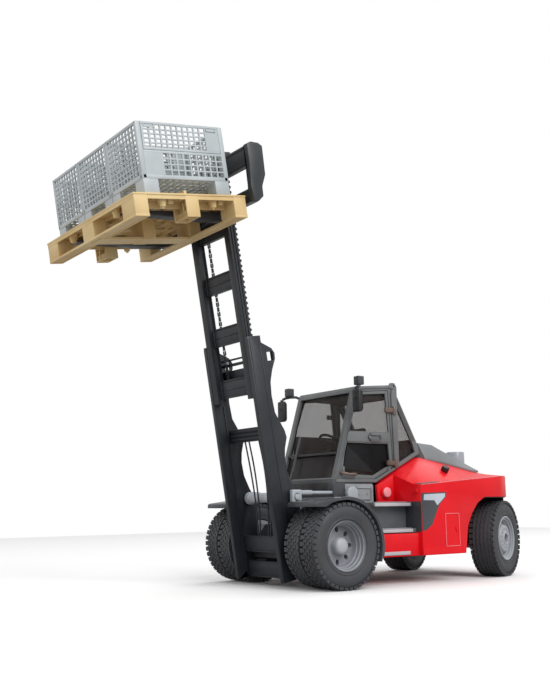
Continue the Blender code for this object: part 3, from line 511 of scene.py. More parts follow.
def wavy_rib(name, x, width, steps):
    """A rib round the rear tyre that swings from side to side."""
    half, crown, swing = width / 2, TYRE_R - 0.1, 0.5
    rib = turned(name, [(STUD_FOOT, -half), (crown, -half + 0.35), (crown, half - 0.35),
                        (STUD_FOOT, half)], steps, x)
    for corner in rib.data.vertices:
        around = math.atan2(corner.co.y, corner.co.z) * steps / (2 * math.pi)
        corner.co.x += swing if round(around) % 2 else -swing
    return rib


def rear_tyre(side, sign):
    """Five wavy ribs between two rows of shoulder lugs."""
    rows = [tyre_body("tyre", REAR_INNER, REAR_WIDTH, sign)]
    for k in range(5):
        rows.append(wavy_rib("rib", sign * (-6.2 + 3.7 * k), 2.5, 2 * TREAD_BLOCKS))
    for x, shift in ((-9.3, 0.0), (11.7, 0.5)):
        rows.append(tread_row("lugs", sign * x, 2.6, 4.1, shift, low=LUG_FOOT, high=LUG_TOP))
    finished(joined(f"steered_tyre_{side}", *rows), steered(side), f"rear_wheel_{side}",
             "tyre_rubber", nodes=(f"rear_tyre_{side}",))


def rear_rim(side, sign):
    """Shallow dish with a raised, bolted hub, and a black disc at its middle as the painted shade of a hole."""
    profile = [(0.0, 9.6), (4.0, 9.6), (4.2, 12.2), (5.6, 12.4), (6.4, 11.6), (11.6, 11.2),
               (12.6, 10.2), (12.9, 7.6), (15.6, 6.6), (16.0, 8.2), (16.9, 8.6), (17.1, 10.4),
               (18.3, 10.8), (18.6, 12.2), (19.6, 12.9), (20.4, 12.5), (20.4, -9.8),
               (18.4, -10.2), (18.4, 2.0), (14.0, 4.0), (5.6, 6.8), (2.5, 6.8), (2.5, 9.0),
               (0.0, 9.0)]
    dish = turned("dish", profile, 48, 0.0, sign)
    bolt = peg("bolt", sign, 11.0, 12.1, (0.0, BOLT_R), 0.75, 8, 0.6)
    # A black disc on the closed middle: painted shade standing for the hole.
    hole_shade = peg(f"hub_hole_shade_{side}", sign, 9.4, 9.8, (0.0, 0.0), 3.9, 24)
    finished(hole_shade, steered(side), f"rear_wheel_{side}", "black_plastic")
    finished(joined(f"steered_rim_{side}", dish, ringed(bolt, BOLTS)), steered(side),
             f"rear_wheel_{side}", "rim_grey", "rim_silver", nodes=(f"rear_rim_{side}",))


def build_wheels():
    for side, sign in SIDES:
        for place, start in (("inner", FRONT_INNER), ("outer", FRONT_OUTER)):
            front_tyre(side, sign, place, start)
        front_rim(side, sign)
        rear_tyre(side, sign)
        rear_rim(side, sign)
        carried(f"rear_knuckle_{side}", 0.3)
    for node, width in (("front_axle", 0.2), ("rear_axle_beam", 0.5), ("tie_rod", 0.3)):
        carried(node, width)


# ---------------------------------------------------------------- pallet and mesh boxes

PALLET_X, PALLET_TOP = 79.9, 291.5
PALLET_FRONT, PALLET_REAR = -136.7, -35.8
PALLET_BASE, UNDER_DECK = PALLET_TOP - 18.0, PALLET_TOP - 1.2
BOX_FRONT, BOX_REAR = -125.2, -47.7
BOX_HALF, BOX_PITCH = 25.675, 51.65
BOX_FLOOR, BOX_MID, BOX_TOP = 303.0, 325.0, 347.1
POST_X, POST_Y = 3.4, 4.0
FLAP_SOLID, SIDE_SOLID = 12.5, 16.5
FOOT = 291.8
WALL = 1.2


def lattice(x, y, z, columns, rows, upright=1.25, level=1.05):
    """Crossed bars that fill a flat span; the thin axis is x or y."""
    along = 1 if x[1] - x[0] < y[1] - y[0] else 0
    span = (x, y)[along]
    pitch = (span[1] - span[0]) / columns
    low, high = [x[0], y[0], z[0]], [x[1], y[1], z[1]]
    low[along], high[along] = span[0] + pitch - upright / 2, span[0] + pitch + upright / 2
    step = [0.0, 0.0, 0.0]
    step[along] = pitch
    stiles = repeated(block("stiles", low, high), columns - 1, step)
    rise = (z[1] - z[0]) / rows
    thin, inset = (x, y)[1 - along], 0.12
    low, high = [x[0], y[0], z[0] + rise - level / 2], [x[1], y[1], z[0] + rise + level / 2]
    low[1 - along], high[1 - along] = thin[0] + inset, thin[1] - inset
    rails = repeated(block("rails", low, high), rows - 1, (0.0, 0.0, rise))
    return [stiles, rails]


def flap_parts(sign, edge):
    """The upper half of a long side: frame, mesh, solid end and two catches."""
    inner, outer = sorted((edge - sign * WALL, edge))
    low_y, high_y = BOX_FRONT + 4.3, BOX_REAR - 4.3
    pieces = [rounded(block("flap", (inner, low_y, z), (outer, high_y, z + h)), 0.2)
              for z, h in ((BOX_MID + 0.3, 1.9), (BOX_TOP - 2.2, 2.2))]
    solid_y = high_y - FLAP_SOLID
    pieces.append(block("solid_end", (inner, solid_y, BOX_MID + 2.2),
                        (outer, high_y, BOX_TOP - 2.2)))
    pieces.append(block("end_bar", (inner, low_y, BOX_MID + 2.2),
                        (outer, low_y + 1.8, BOX_TOP - 2.2)))
    pieces += lattice((inner, outer), (low_y + 1.8, solid_y), (BOX_MID + 2.2, BOX_TOP - 2.2),
                      11, 5)
    proud = sorted((edge - sign * 0.2, edge + sign * 0.8))
    for y in (low_y + 2.2, high_y - 11.2):
        catch = block("catch", (proud[0], y, BOX_TOP - 4.6), (proud[1], y + 9.0, BOX_TOP - 1.4))
        pieces.append(sunk(catch, facing(0, sign), 0.6, -0.5))
    return pieces


def mesh_box(name, centre, flap_side):
    """Posts, rims, pierced sides, slatted floor and feet, with a flap on one side or none."""
    low_x, high_x = centre - BOX_HALF, centre + BOX_HALF
    posts = []
    for x in (low_x, high_x - POST_X):
        for y in (BOX_FRONT, BOX_REAR - POST_Y):
            post = block("post", (x, y, BOX_FLOOR), (x + POST_X, y + POST_Y, BOX_TOP))
            posts.append(rounded(post, 0.5))
    rims = []
    for z, height in ((BOX_FLOOR, 3.2), (BOX_TOP - 2.2, 2.2)):
        for y in (BOX_FRONT, BOX_REAR - 2.0):
            rims.append(rounded(block("rim", (low_x + 1, y, z), (high_x - 1, y + 2.0, z + height)),
                                0.3))
        if z == BOX_FLOOR:
            for x in (low_x, high_x - 2.0):
                rims.append(rounded(block("rim", (x, BOX_FRONT + 1, z),
                                          (x + 2.0, BOX_REAR - 1, z + height)), 0.3))
    panels = []
    for y in (BOX_FRONT + 0.2, BOX_REAR - WALL - 0.2):
        panels += lattice((low_x + 3.0, high_x - 3.0), (y, y + WALL),
                          (BOX_FLOOR + 3.0, BOX_TOP - 2.0), 9, 10)
    low_y, high_y = BOX_FRONT + 3.8, BOX_REAR - 3.8
    for sign in (-1.0, 1.0):
        edge = centre + sign * BOX_HALF
        inner, outer = sorted((edge - sign * WALL, edge))
        panels.append(rounded(block("mid_rail", (inner, low_y, BOX_MID - 2.0),
                                    (outer, high_y, BOX_MID)), 0.2))
        solid = low_y + SIDE_SOLID if sign > 0 else high_y - SIDE_SOLID
        ends = sorted((solid, low_y if sign > 0 else high_y))
        panels.append(block("solid_end", (inner, ends[0], BOX_FLOOR + 3.0),
                            (outer, ends[1], BOX_MID - 1.8)))
        mesh_y = (solid, high_y) if sign > 0 else (low_y, solid)
        panels += lattice((inner, outer), mesh_y, (BOX_FLOOR + 3.0, BOX_MID - 1.8), 9, 4)
        if sign != flap_side:
            panels += flap_parts(sign, edge)
    slats = repeated(block("slat", (low_x + 1.5, BOX_FRONT + 5.0, BOX_FLOOR + 0.2),
                           (high_x - 1.5, BOX_FRONT + 6.6, BOX_FLOOR + 1.4)), 12, (0, 6.0, 0))
    joists = repeated(block("joist", (low_x + 6.6, BOX_FRONT + 1.5, BOX_FLOOR + 0.1),
                            (low_x + 8.0, BOX_REAR - 1.5, BOX_FLOOR + 1.2)), 5, (9.2, 0, 0))
    feet = []
    for side in (-1.0, 1.0):
        for y in (BOX_FRONT + 0.4, BOX_REAR - 13.4):
            middle = centre + side * (BOX_HALF - 6.6)
            foot = block("foot", (middle - 6.4, y, FOOT),
                         (middle + 6.4, y + 13.0, BOX_FLOOR + 0.5))
            feet.append(rounded(foot, 0.5))
    crate = joined(f"mesh_crate_{name}", *posts, *rims, *panels, slats, joists, *feet)
    finished(crate, MAST, f"mesh_box_{name}", "cage_grey", nodes=(f"cage_{name}",))
    if flap_side:
        flap = joined(f"mesh_flap_{name}", *flap_parts(flap_side, centre + flap_side * BOX_HALF))
        finished(flap, MAST, f"flap_{name}", "cage_grey", nodes=(f"cage_flap_{name}",))


def screw_post(x, y):
    return bar("post", (x, y, PALLET_TOP - 9.0), (x, y, UNDER_DECK), 2.4, 20, 4.2)


def pallet():
    """Deck with a thin lip, nine blocks, bottom boards, ribs and the screw posts between them."""
    base, edge = PALLET_BASE, PALLET_X - 0.4
    under = facing(2, -1)
    deck = rounded(block("deck", (-PALLET_X, PALLET_FRONT, PALLET_TOP - 1.5),
                         (PALLET_X, PALLET_REAR, PALLET_TOP)), 0.3)
    parts = [deck]
    rows = (PALLET_FRONT + 6.2, (PALLET_FRONT + PALLET_REAR) / 2, PALLET_REAR - 6.2)
    for k, y in enumerate(rows):
        for x in (-edge + 10.0, 0.0, edge - 10.0):
            foot = block("foot", (x - 10.0, y - 5.8, base + (1.6 if k != 1 else 0.0)),
                         (x + 10.0, y + 5.8, UNDER_DECK))
            if k == 1 and x:
                out = math.copysign(1.0, x)
                foot = sunk(foot, facing(1, -1), 1.4, -5.0)
                foot = sunk(foot, under, 1.4, -6.0)
                parts.append(block("fold", (x + out * 3.0, y - 5.0, base),
                                   (x + out * 4.2, y + 5.0, base + 12.0)))
            else:
                foot = sunk(foot, under, 1.3, -4.0)
            parts.append(rounded(foot, 0.3))
        if k != 1:
            board = block("board", (-edge - 0.12, y - 5.92, base),
                          (edge + 0.12, y + 5.92, base + 2.0))
            parts.append(rounded(sunk(board, under, 1.2, -0.8), 0.25))
            apron = block("apron", (0.25 - edge, y - 5.95, PALLET_TOP - 4.0),
                          (edge - 0.25, y - 4.9, UNDER_DECK))
            parts.append(repeated(apron, 2, (0.0, 10.85, 0.0)))
    long_rib = block("long_rib", (-edge + 1, PALLET_FRONT + 20.0, PALLET_TOP - 3.8),
                     (edge - 1, PALLET_FRONT + 20.9, UNDER_DECK))
    parts.append(repeated(long_rib, 6, (0.0, 12.2, 0.0)))
    cross_rib = block("cross_rib", (-edge + 9.5, PALLET_FRONT + 11.0, PALLET_TOP - 3.4),
                      (-edge + 10.4, PALLET_REAR - 11.0, UNDER_DECK))
    parts.append(repeated(cross_rib, 9, (17.4, 0.0, 0.0)))
    for sign in (-1.0, 1.0):
        parts.append(side_block("sill", sign, edge - 1.4, edge - 0.3,
                                (PALLET_FRONT + 2, PALLET_TOP - 4.4),
                                (PALLET_REAR - 2, UNDER_DECK)))
        parts.append(side_block("ledge", sign, edge - 14.0, edge - 12.6,
                                (PALLET_FRONT + 11, PALLET_TOP - 8.6),
                                (PALLET_REAR - 11, UNDER_DECK)))
        for y in (rows[0] + 21.5, rows[2] - 21.5):
            x = sign * (edge - 6.5)
            parts.append(screw_post(x, y))
            parts.append(bar("screw", (x, y, PALLET_TOP - 10.4), (x, y, PALLET_TOP - 8.6), 1.0,
                             12, 1.6))
            clip = block("clip", (x - 1.2, y + 5.0, PALLET_TOP - 6.6),
                         (x + 1.2, y + 9.4, UNDER_DECK))
            parts.append(rounded(clip, 0.6))
    for x in (-40.0, 40.0):
        for y in (rows[0], rows[2]):
            parts.append(screw_post(x, y))
    parts.append(block("skid", (-9.0, rows[0], base + 0.2), (9.0, rows[2], base + 1.9)))
    board = joined("pallet_moulding", *parts)
    finished(board, MAST, "load_pallet", "pallet_beige", nodes=("pallet", "pallet_base"))


def build_load():
    pallet()
    for name, centre, flap_side in (("left", BOX_PITCH, 1.0), ("middle", 0.0, 0.0),
                                    ("right", -BOX_PITCH, -1.0)):
        mesh_box(name, centre, flap_side)


# ---------------------------------------------------------------- mast and carriage

STAGE_BOTTOM, STAGE_TOP = 132.2, 341.0
CHAIN_X, CHAIN_FRONT, CHAIN_REAR, CHAIN_PITCH = 15.5, -13.7, -12.0, 4.4
CHEEK_SIDE, CHEEK_INSIDE = 34.2, 30.7
RUNG_PITCH = 46.0
BEAM_REACH = 81.9


def lift_chain(side, sign):
    """Flat links on pins, behind the rungs."""
    x, pitch, start = sign * CHAIN_X, CHAIN_PITCH, STAGE_BOTTOM + 7.0
    count = int((STAGE_TOP - 7.0 - start) / pitch)
    middle = (CHAIN_FRONT + CHAIN_REAR) / 2
    plates = []
    for k, half in ((0, 1.35), (1, 0.75)):
        for out in (-1.0, 1.0):
            z = start + k * pitch
            link = block("link", (x + out * half - 0.25, CHAIN_FRONT, z),
                         (x + out * half + 0.25, CHAIN_REAR, z + pitch * 0.82))
            plates.append(repeated(rounded(link, 0.3, 1), count // 2, (0.0, 0.0, pitch * 2)))
    pin = bar("pin", (x - 1.5, middle, start), (x + 1.5, middle, start), 0.5, 8)
    plates.append(repeated(pin, count, (0.0, 0.0, pitch)))
    chain = joined(f"lift_chain_{side}", *plates)
    finished(chain, MAST, "stage", "steel", "mast_black", nodes=(f"chain_{side}",))


def stage_details():
    """Rib lines and gussets on the rungs, and the lips along the uprights."""
    lines = []
    for i in range(5):
        z = STAGE_BOTTOM + 3.8 + RUNG_PITCH * i
        rib = block("rib", (-22.2, -18.5, z), (22.2, -17.5, z + 1.3))
        lines.append(repeated(rounded(rib, 0.25), 3, (0.0, 0.0, 7.35)))
        for sign in (-1.0, 1.0):
            gusset = side_block("gusset", sign, 19.6, 22.4, (-18.6, z), (-14.4, z + 16.0))
            lines.append(rounded(gusset, 0.4))
    for sign in (-1.0, 1.0):
        ridge = side_block("ridge", sign, 29.9, 30.35, (-21.4, STAGE_BOTTOM + 2.0),
                           (-20.7, STAGE_TOP - 2.0))
        lines.append(rounded(ridge, 0.15))
        lip = side_block("lip", sign, 21.2, 22.6, (-15.4, STAGE_BOTTOM + 2.0),
                         (-14.0, STAGE_TOP - 2.0))
        lines.append(rounded(lip, 0.3))
    finished(joined("stage_ribs", *lines), MAST, "stage", "mast_black")


def mast_details():
    """Bowed ledges on the low ties, the zigzag beam face, ribs on the cheeks and the hoses."""
    parts = []
    for z in (-21.2, 0.4):
        for edge in (0.2, 12.8):
            ledge = plate("ledge", [(-30.4, -11.2), (-10.0, -11.7), (10.0, -11.7), (30.4, -11.2),
                                    (30.4, -9.6), (-30.4, -9.6)], z + edge, z + edge + 1.1, "Z")
            parts.append(rounded(ledge, 0.25))
    tooth = plate("tooth", [(-9.8, 97.0), (-10.8, 98.4), (-10.8, 99.4), (-9.4, 100.8),
                            (-9.4, 97.0)], -29.0, 29.0, "X")
    parts.append(repeated(tooth, 3, (0.0, 0.0, 3.6)))
    for low, high in ((163.4, 166.0), (168.4, 170.0)):
        parts.append(rounded(block("ear_bar", (-30.4, -11.0, low), (24.6, -8.8, high)), 0.3))
    for sign in (-1.0, 1.0):
        front = side_block("front_rib", sign, CHEEK_SIDE, 35.0, (-21.9, -20.0), (-19.6, 182.0))
        parts.append(rounded(front, 0.3))
        rear = side_block("rear_rib", sign, CHEEK_SIDE, 34.8, (-10.2, -12.0), (-9.0, 176.0))
        parts.append(rounded(rear, 0.25))
        inner = side_block("inner_rib", sign, 29.8, CHEEK_INSIDE, (-12.6, -20.0), (-11.0, 130.0))
        parts.append(rounded(inner, 0.25))
        for far, middle, radius in ((35.6, (0.0, 0.0), 4.4), (35.4, (0.6, 45.6), 4.6)):
            parts.append(rounded(peg("boss", sign, 34.3, far, middle, radius, 24), 0.4))
    for x, lean in ((-9.0, -2.0), (-6.0, 1.0), (6.0, 4.0), (9.0, 7.0)):
        parts.append(hose("hose", [(x, -9.6, 14.0), (x + lean * 0.5, -7.0, 40.0),
                                   (x + lean, -6.5, 70.0), (x + lean, -8.0, 97.0)], 0.7))
    finished(joined("mast_ribs", *parts), MAST, "mast", "mast_black")


def carriage_details():
    """Raised lines along both faces of the beams."""
    parts = []
    for low, high in ((286.0, 297.0), (315.6, 331.6)):
        for z in (low + 1.0, high - 2.2):
            for front, rear in ((-32.5, -31.9), (-25.6, -25.0)):
                line = block("line", (-BEAM_REACH, front, z), (BEAM_REACH, rear, z + 1.2))
                parts.append(rounded(line, 0.2))
    finished(joined("carriage_ribs", *parts), MAST, "fork_carriage", "carriage_grey")


def build_mast():
    for node, width in (("outer_mast", 0.5), ("inner_mast", 0.35), ("tilt_tube", 0.3),
                        ("lift_latch", 0.4), ("carriage", 0.7), ("fork_left", 0.5),
                        ("fork_right", 0.5), ("mast_pin", 0.3), ("tilt_rod_left", 0.4),
                        ("tilt_rod_right", 0.4)):
        carried(node, width)
    for side, sign in SIDES:
        lift_chain(side, sign)
    stage_details()
    mast_details()
    carriage_details()


# ---------------------------------------------------------------- cab

FRONT_FOOT, FRONT_HEAD = (20.5, 87.0), (45.8, 169.6)
REAR_FOOT, REAR_HEAD = (122.6, 123.6), (95.0, 173.6)
CAB_SIDE = 39.9
FLUTE_PITCH, FLUTE_WIDTH = 1.5, 0.7


def front_line(z):
    """Where the cab's front plane lies at a height."""
    (foot_y, foot_z), (head_y, head_z) = FRONT_FOOT, FRONT_HEAD
    return foot_y + (z - foot_z) * (head_y - foot_y) / (head_z - foot_z)


def rear_line(z):
    """Where the slope of the rear post lies at a height."""
    (foot_y, foot_z), (head_y, head_z) = REAR_FOOT, REAR_HEAD
    return head_y + (head_z - z) * (foot_y - head_y) / (head_z - foot_z)


def along(line, low, high, near, far):
    """The outline of a strip between two heights, near to far off a sloping line."""
    return [(line(low) + near, low), (line(high) + near, high),
            (line(high) + far, high), (line(low) + far, low)]


def fluted(sign, line, low, high, first):
    """Three thin ridges side by side along a sloping post of the cab."""
    parts = []
    for k in range(3):
        shift = first + FLUTE_PITCH * k
        parts.append(side_plate("flute", sign, CAB_SIDE, CAB_SIDE + 0.6,
                                along(line, low, high, shift, shift + FLUTE_WIDTH)))
    return parts


def cab_details():
    """Fluted posts, the straight post, sills, roof edges and lifting eyes."""
    parts = []
    for sign in (-1.0, 1.0):
        parts += fluted(sign, front_line, 91.0, 166.0, 1.2)
        parts += fluted(sign, rear_line, 126.0, 170.0, -5.0)
        post = side_plate("post", sign, CAB_SIDE, 41.6,
                          [(92.2, 100.0), (90.6, 168.0), (92.0, 171.6), (97.0, 171.6),
                           (97.6, 168.0), (97.8, 104.0)])
        parts.append(rounded(post, 0.6))
        sill = side_plate("sill", sign, CAB_SIDE, 41.4,
                          [(22.0, 87.2), (23.4, 90.0), (68.0, 90.0), (93.0, 101.6),
                           (94.0, 99.6), (68.6, 87.2)])
        parts.append(rounded(sill, 0.4))
        cap = side_plate("cap", sign, CAB_SIDE, 41.0,
                         [(45.6, 169.2), (48.4, 172.4), (91.0, 176.2), (94.6, 173.6),
                          (93.0, 172.4), (89.6, 173.4), (50.0, 170.2), (48.0, 168.0)])
        parts.append(rounded(cap, 0.35))
        eye = side_plate("eye", sign, 37.0, 39.6,
                         [(90.0, 175.0), (93.0, 178.8), (97.0, 178.8), (99.6, 175.0),
                          (99.6, 166.0), (96.0, 171.0)])
        hole = peg("hole", sign, 30.0, 45.0, (95.6, 175.6), 1.2, 14)
        parts.append(rounded(cut(eye, hole), 0.4))
    finished(joined("cab_trim", *parts), CHASSIS, "truck", "cab_grey")


def wiper():
    foot, tip = 88.0, 131.0
    x, front = -22.0, front_line(foot) - 1.2
    parts = [bar("arm", (x, front, foot), (x, front_line(tip) - 1.4, tip), 0.7, 10),
             bar("pivot", (x, front + 1.6, foot), (x, front - 0.8, foot - 0.4), 1.6, 14),
             bar("blade", (x + 1.0, front_line(98.0) - 1.0, 98.0),
                 (x + 1.0, front_line(tip) - 1.0, tip), 0.5, 8)]
    finished(joined("wiper_arm", *parts), CHASSIS, "truck", "trim_grey", "dark_panel")


def cab_lining():
    """The ceiling, painted dark as the shade under the roof, the dark shelf and tray, and the bar and kick plate
    under the windscreen.
    """
    # The ceiling is black as painted shade under the roof.
    lining = [plate("ceiling", [(48.0, 166.4), (50.4, 169.4), (90.0, 173.0), (93.0, 171.0),
                                (96.6, 164.0), (92.0, 165.4)], -36.6, 36.6),
              plate("rear_shelf", [(96.0, 104.0), (92.0, 116.0), (121.0, 118.6), (121.6, 115.6)],
                    -36.0, 36.0),
              block("side_tray", (15.0, 46.0, 91.0), (34.0, 88.0, 97.0))]
    finished(joined("cab_lining", *lining), CHASSIS, "truck", "black_plastic")
    half = 35.6
    base = [plate("screen_bar", along(front_line, 112.2, 114.2, -0.4, 2.0), -half, half),
            plate("kick", along(front_line, 91.0, 111.0, 3.0, 3.6), -half, half)]
    finished(joined("screen_base", *base), CHASSIS, "truck", "black_plastic")


def door(side, sign):
    """Frame, tinted inner moulding, latch, lining, hinge blocks and pull handle."""
    body = f"cab_door_{side}"
    carried(f"door_frame_{side}", 0.35)
    carried(f"door_glass_{side}", 0.15)
    mid_bar = side_plate("mid_bar", sign, 38.6, 40.7,
                         [(36.4, 123.0), (38.4, 131.6), (86.6, 131.6), (87.2, 123.0)])
    pad = rounded(side_block("pad", sign, 40.4, 41.8, (62.0, 124.6), (76.0, 130.4)), 0.5)
    parts = [rounded(mid_bar, 0.4), sunk(pad, facing(0, sign), 1.2, -0.6)]
    for y in (30.2, 84.6):
        stop = side_block("stop", sign, 39.8, 40.9, (y, 96.0), (y + 2.4, 101.0))
        parts.append(rounded(stop, 0.3))
    finished(joined(f"door_bar_{side}", *parts), CHASSIS, body, "cab_grey")
    lining = side_plate(f"door_lining_{side}", sign, 36.9, 37.5,
                        [(34.6, 99.0), (37.0, 122.0), (86.8, 122.0), (88.0, 104.0),
                         (70.0, 96.0)])
    finished(lining, CHASSIS, body, "black_plastic")
    clear = []
    for z in (153.0, 105.0):
        leaf = side_block("leaf", sign, 40.3, 42.6, (82.0, z - 2.2), (93.0, z + 2.2))
        barrel = bar("barrel", (sign * 42.0, 93.0, z - 4.0), (sign * 42.0, 93.0, z + 3.6), 2.0, 18)
        clear += [rounded(leaf, 0.5), rounded(barrel, 0.4)]
    clear.append(hose("pull", [(sign * x, y, z) for x, y, z in (
        (40.2, 28.4, 95.4), (43.4, 29.0, 95.0), (44.2, 36.0, 94.0), (43.4, 43.2, 94.4),
        (40.2, 44.0, 95.0))], 1.4))
    finished(joined(f"door_hinges_{side}", *clear), CHASSIS, body, "tinted_glass", "clear_brown")


def mirror(side, sign):
    """Arm, head, and the head's sunk face, hub and stem."""
    carried(f"mirror_arm_{side}", 0.3, "dark_panel")
    carried(f"mirror_{side}", 0.5)
    x, y = sign * 55.2, 36.8
    rim = rounded(side_block("face", sign, 51.4, 59.0, (38.6, 149.0), (39.6, 166.4)), 0.3)
    rim = sunk(rim, facing(1, 1), 0.7, -0.35)
    hub = bar("hub", (x, 34.2, 161.0), (x, 35.4, 161.0), 2.6, 20)
    stem = bar("stem", (x, y, 167.0), (x, y, 169.0), 1.5, 16)
    finished(joined(f"mirror_trim_{side}", rim, rounded(hub, 0.4), stem), CHASSIS,
             f"mirror_head_{side}", "black_plastic")


def build_cab():
    shell = carried("cab_frame", 0.55)
    gap = block("gap", (-35.4, 22.0, 110.6), (35.4, 33.0, 116.0))
    gap.matrix_world = CHASSIS
    cut(shell, gap)
    for node, width in (("windscreen", 0.15), ("rear_window", 0.15), ("quarter_glass_left", 0.15),
                        ("quarter_glass_right", 0.15), ("driver_seat", 0.6),
                        ("dash_console", 0.5), ("steering_wheel", 0.2), ("tilt_knob", 0.4)):
        carried(node, width)
    for side, sign in SIDES:
        door(side, sign)
        mirror(side, sign)
    cab_details()
    wiper()
    cab_lining()


# ---------------------------------------------------------------- body

BODY_SIDE = 78.9
LEDGE_RISE, LEDGE_FALL = 0.085, 0.078
ARCH_WALL, ARCH_ROOF = (32.5, 33.1), (72.8, 73.45)
FENDER_R, FENDER_TOP = 38.9, 35.0


def step_strips(side, sign):
    """Silver treads on the edges of the three steps."""
    parts = []
    for x, z, height, rear in ((68.2, 66.2, 2.8, 83.0), (72.7, 44.0, 2.8, 80.5),
                               (74.2, 25.2, 3.0, 75.0)):
        strip = side_block("strip", sign, x - 0.3, x + 0.8, (41.2, z), (rear, z + height))
        parts.append(rounded(strip, 0.35))
    for x, z in ((68.0, 69.3), (72.4, 46.9)):
        parts.append(side_block("tread", sign, x - 6.5, x - 0.6, (43.0, z), (80.0, z + 0.6)))
    finished(joined(f"step_strips_{side}", *parts), CHASSIS, "truck", "light_plastic",
             "silver_strip")


def side_decal(side, sign):
    """The dark panel behind the steps and the pale slash on it."""
    dark = side_plate(f"side_panel_{side}", sign, BODY_SIDE, 79.25,
                      [(86.4, 44.2), (86.4, 77.2), (117.0, 78.0), (117.4, 74.2), (108.6, 67.6),
                       (104.0, 60.0), (98.4, 50.0), (92.0, 46.0)])
    finished(dark, CHASSIS, "truck", "trim_grey", "dark_panel")
    slash = side_plate(f"side_slash_{side}", sign, 79.2, 79.45,
                       [(88.6, 71.0), (89.2, 76.0), (115.6, 76.9), (115.4, 74.0),
                        (105.4, 66.4), (101.6, 70.8)])
    finished(slash, CHASSIS, "truck", "trim_grey", "pale_slash")


def side_fittings(side, sign):
    """Access door with its catch, the button, the lamp on its boss and the filler knob."""
    access = side_plate("access", sign, BODY_SIDE, 79.35,
                        [(115.0, 31.0), (115.0, 59.0), (132.0, 59.0), (132.0, 31.0)])
    access = sunk(access, facing(0, sign), 0.6, -0.25)
    catch = rounded(side_block("catch", sign, 79.0, 79.8, (127.6, 43.4), (130.4, 47.6)), 0.25)
    button = bar("button", (sign * 73.4, 86.4, 78.8), (sign * 73.4, 84.8, 78.8), 2.3, 20)
    boss = peg("boss", sign, 44.8, 46.8, (75.8, 78.4), 5.8, 32)
    low_lip = side_plate("lip", sign, BODY_SIDE, 79.3,
                         [(86.4, 24.6), (86.4, 30.0), (134.6, 30.0), (136.4, 27.2),
                          (135.0, 24.6)])
    finished(joined(f"body_trim_{side}", access, catch, rounded(button, 0.4),
                    rounded(boss, 0.5), low_lip), CHASSIS, "truck", "red_body")
    # The lamp lens is coloured pale pink as a painted highlight.
    lamp = peg(f"step_lamp_{side}", sign, 46.4, 48.6, (75.8, 78.4), 4.5, 32)
    finished(rounded(lamp, 1.1, 3), CHASSIS, "truck", "red_body", "lamp_highlight")
    knob = bar("knob", (sign * 55.2, 141.0, 97.0), (sign * 58.4, 141.0, 101.4), 3.5, 24)
    finished(rounded(knob, 0.6), CHASSIS, "truck", "trim_grey", "black_plastic")


def dark_patches(side, sign):
    """The grating in the sloping ledge beside the cab, and a dark sheet at the back of the step recess as painted
    shade.
    """
    patch = plate(f"vent_patch_{side}", [(70.6, 88.0), (78.2, 88.0), (78.2, 110.0), (70.6, 110.0)],
                  0.0, 0.5, "Z")
    for corner in patch.data.vertices:
        x, y, lift = corner.co
        ledge = 85.2 - (x - 70.0) * LEDGE_FALL + (y - 86.0) * LEDGE_RISE
        corner.co = (sign * x, y, ledge + lift)
    edit(patch)
    finished(face_out(patch), CHASSIS, "truck", "trim_grey", "dark_panel")
    # Dark sheet at the back of the step recess: painted shade.
    back = side_block(f"recess_shade_{side}", sign, 44.0, 78.7, (85.74, 44.0), (86.05, 70.0))
    finished(back, CHASSIS, "truck", "trim_grey", "dark_panel")


def side_highlights(side, sign):
    """The raised line along the shoulder and round the access door, coloured pale red as a painted highlight."""
    line = hose("line", [(sign * x, y, z) for x, y, z in (
        (79.0, 87.0, 84.4), (79.0, 120.0, 87.0), (79.0, 156.0, 89.8), (78.9, 189.0, 92.3))],
        0.35, 2)
    edges = [side_block("edge", sign, 79.1, 79.5, low, high) for low, high in (
        ((114.6, 30.6), (115.2, 59.4)), ((131.8, 30.6), (132.4, 59.4)),
        ((115.0, 58.8), (132.0, 59.4)), ((115.0, 30.6), (132.0, 31.2)))]
    finished(joined(f"shoulder_highlight_{side}", line, *edges), CHASSIS, "truck", "red_body",
             "highlight_red")


def arch_liner(side, sign):
    """Wall, roof and tail plate inside the rear wheel arch."""
    wall = side_block("wall", sign, *ARCH_WALL, (146.0, 43.0), (224.0, 73.4))
    tail = side_block("tail", sign, 33.0, 52.5, (224.4, 50.0), (225.6, 73.6))
    roof = plate("roof", [(sign * x, y) for x, y in (
        (33.4, 168.0), (78.2, 168.0), (78.2, 190.0), (70.2, 207.0), (53.0, 227.0),
        (33.4, 227.0))], *ARCH_ROOF, "Z")
    finished(joined(f"arch_liner_{side}", wall, roof, tail), CHASSIS, "truck", "black_plastic")


def fender_trim(side, sign):
    """Rolled edge along the mudguard's outer rim, and its thick front."""
    arc = [(sign * 81.0, FENDER_R * math.sin(math.radians(a)),
            FENDER_TOP + FENDER_R * math.cos(math.radians(a))) for a in range(-8, 112, 8)]
    front = side_plate("front", sign, 42.6, 81.3,
                       [(-31.9, 66.6), (-31.9, 69.6), (-30.4, 70.8), (-8.0, 73.6), (0.0, 73.6),
                        (-8.0, 71.4), (-16.0, 69.4), (-22.0, 66.4)])
    finished(joined(f"mudguard_rim_{side}", hose("edge", arc, 0.8), rounded(front, 0.5)),
             CHASSIS, "truck", "trim_grey", "dark_panel")


def tail_grille():
    """Six louvres across the tail."""
    louvre = rounded(block("tail_grille", (-38.0, 207.4, 52.0), (38.0, 209.0, 53.6)), 0.3)
    finished(repeated(louvre, 6, (0.0, 0.0, 4.6)), CHASSIS, "truck", "trim_grey")


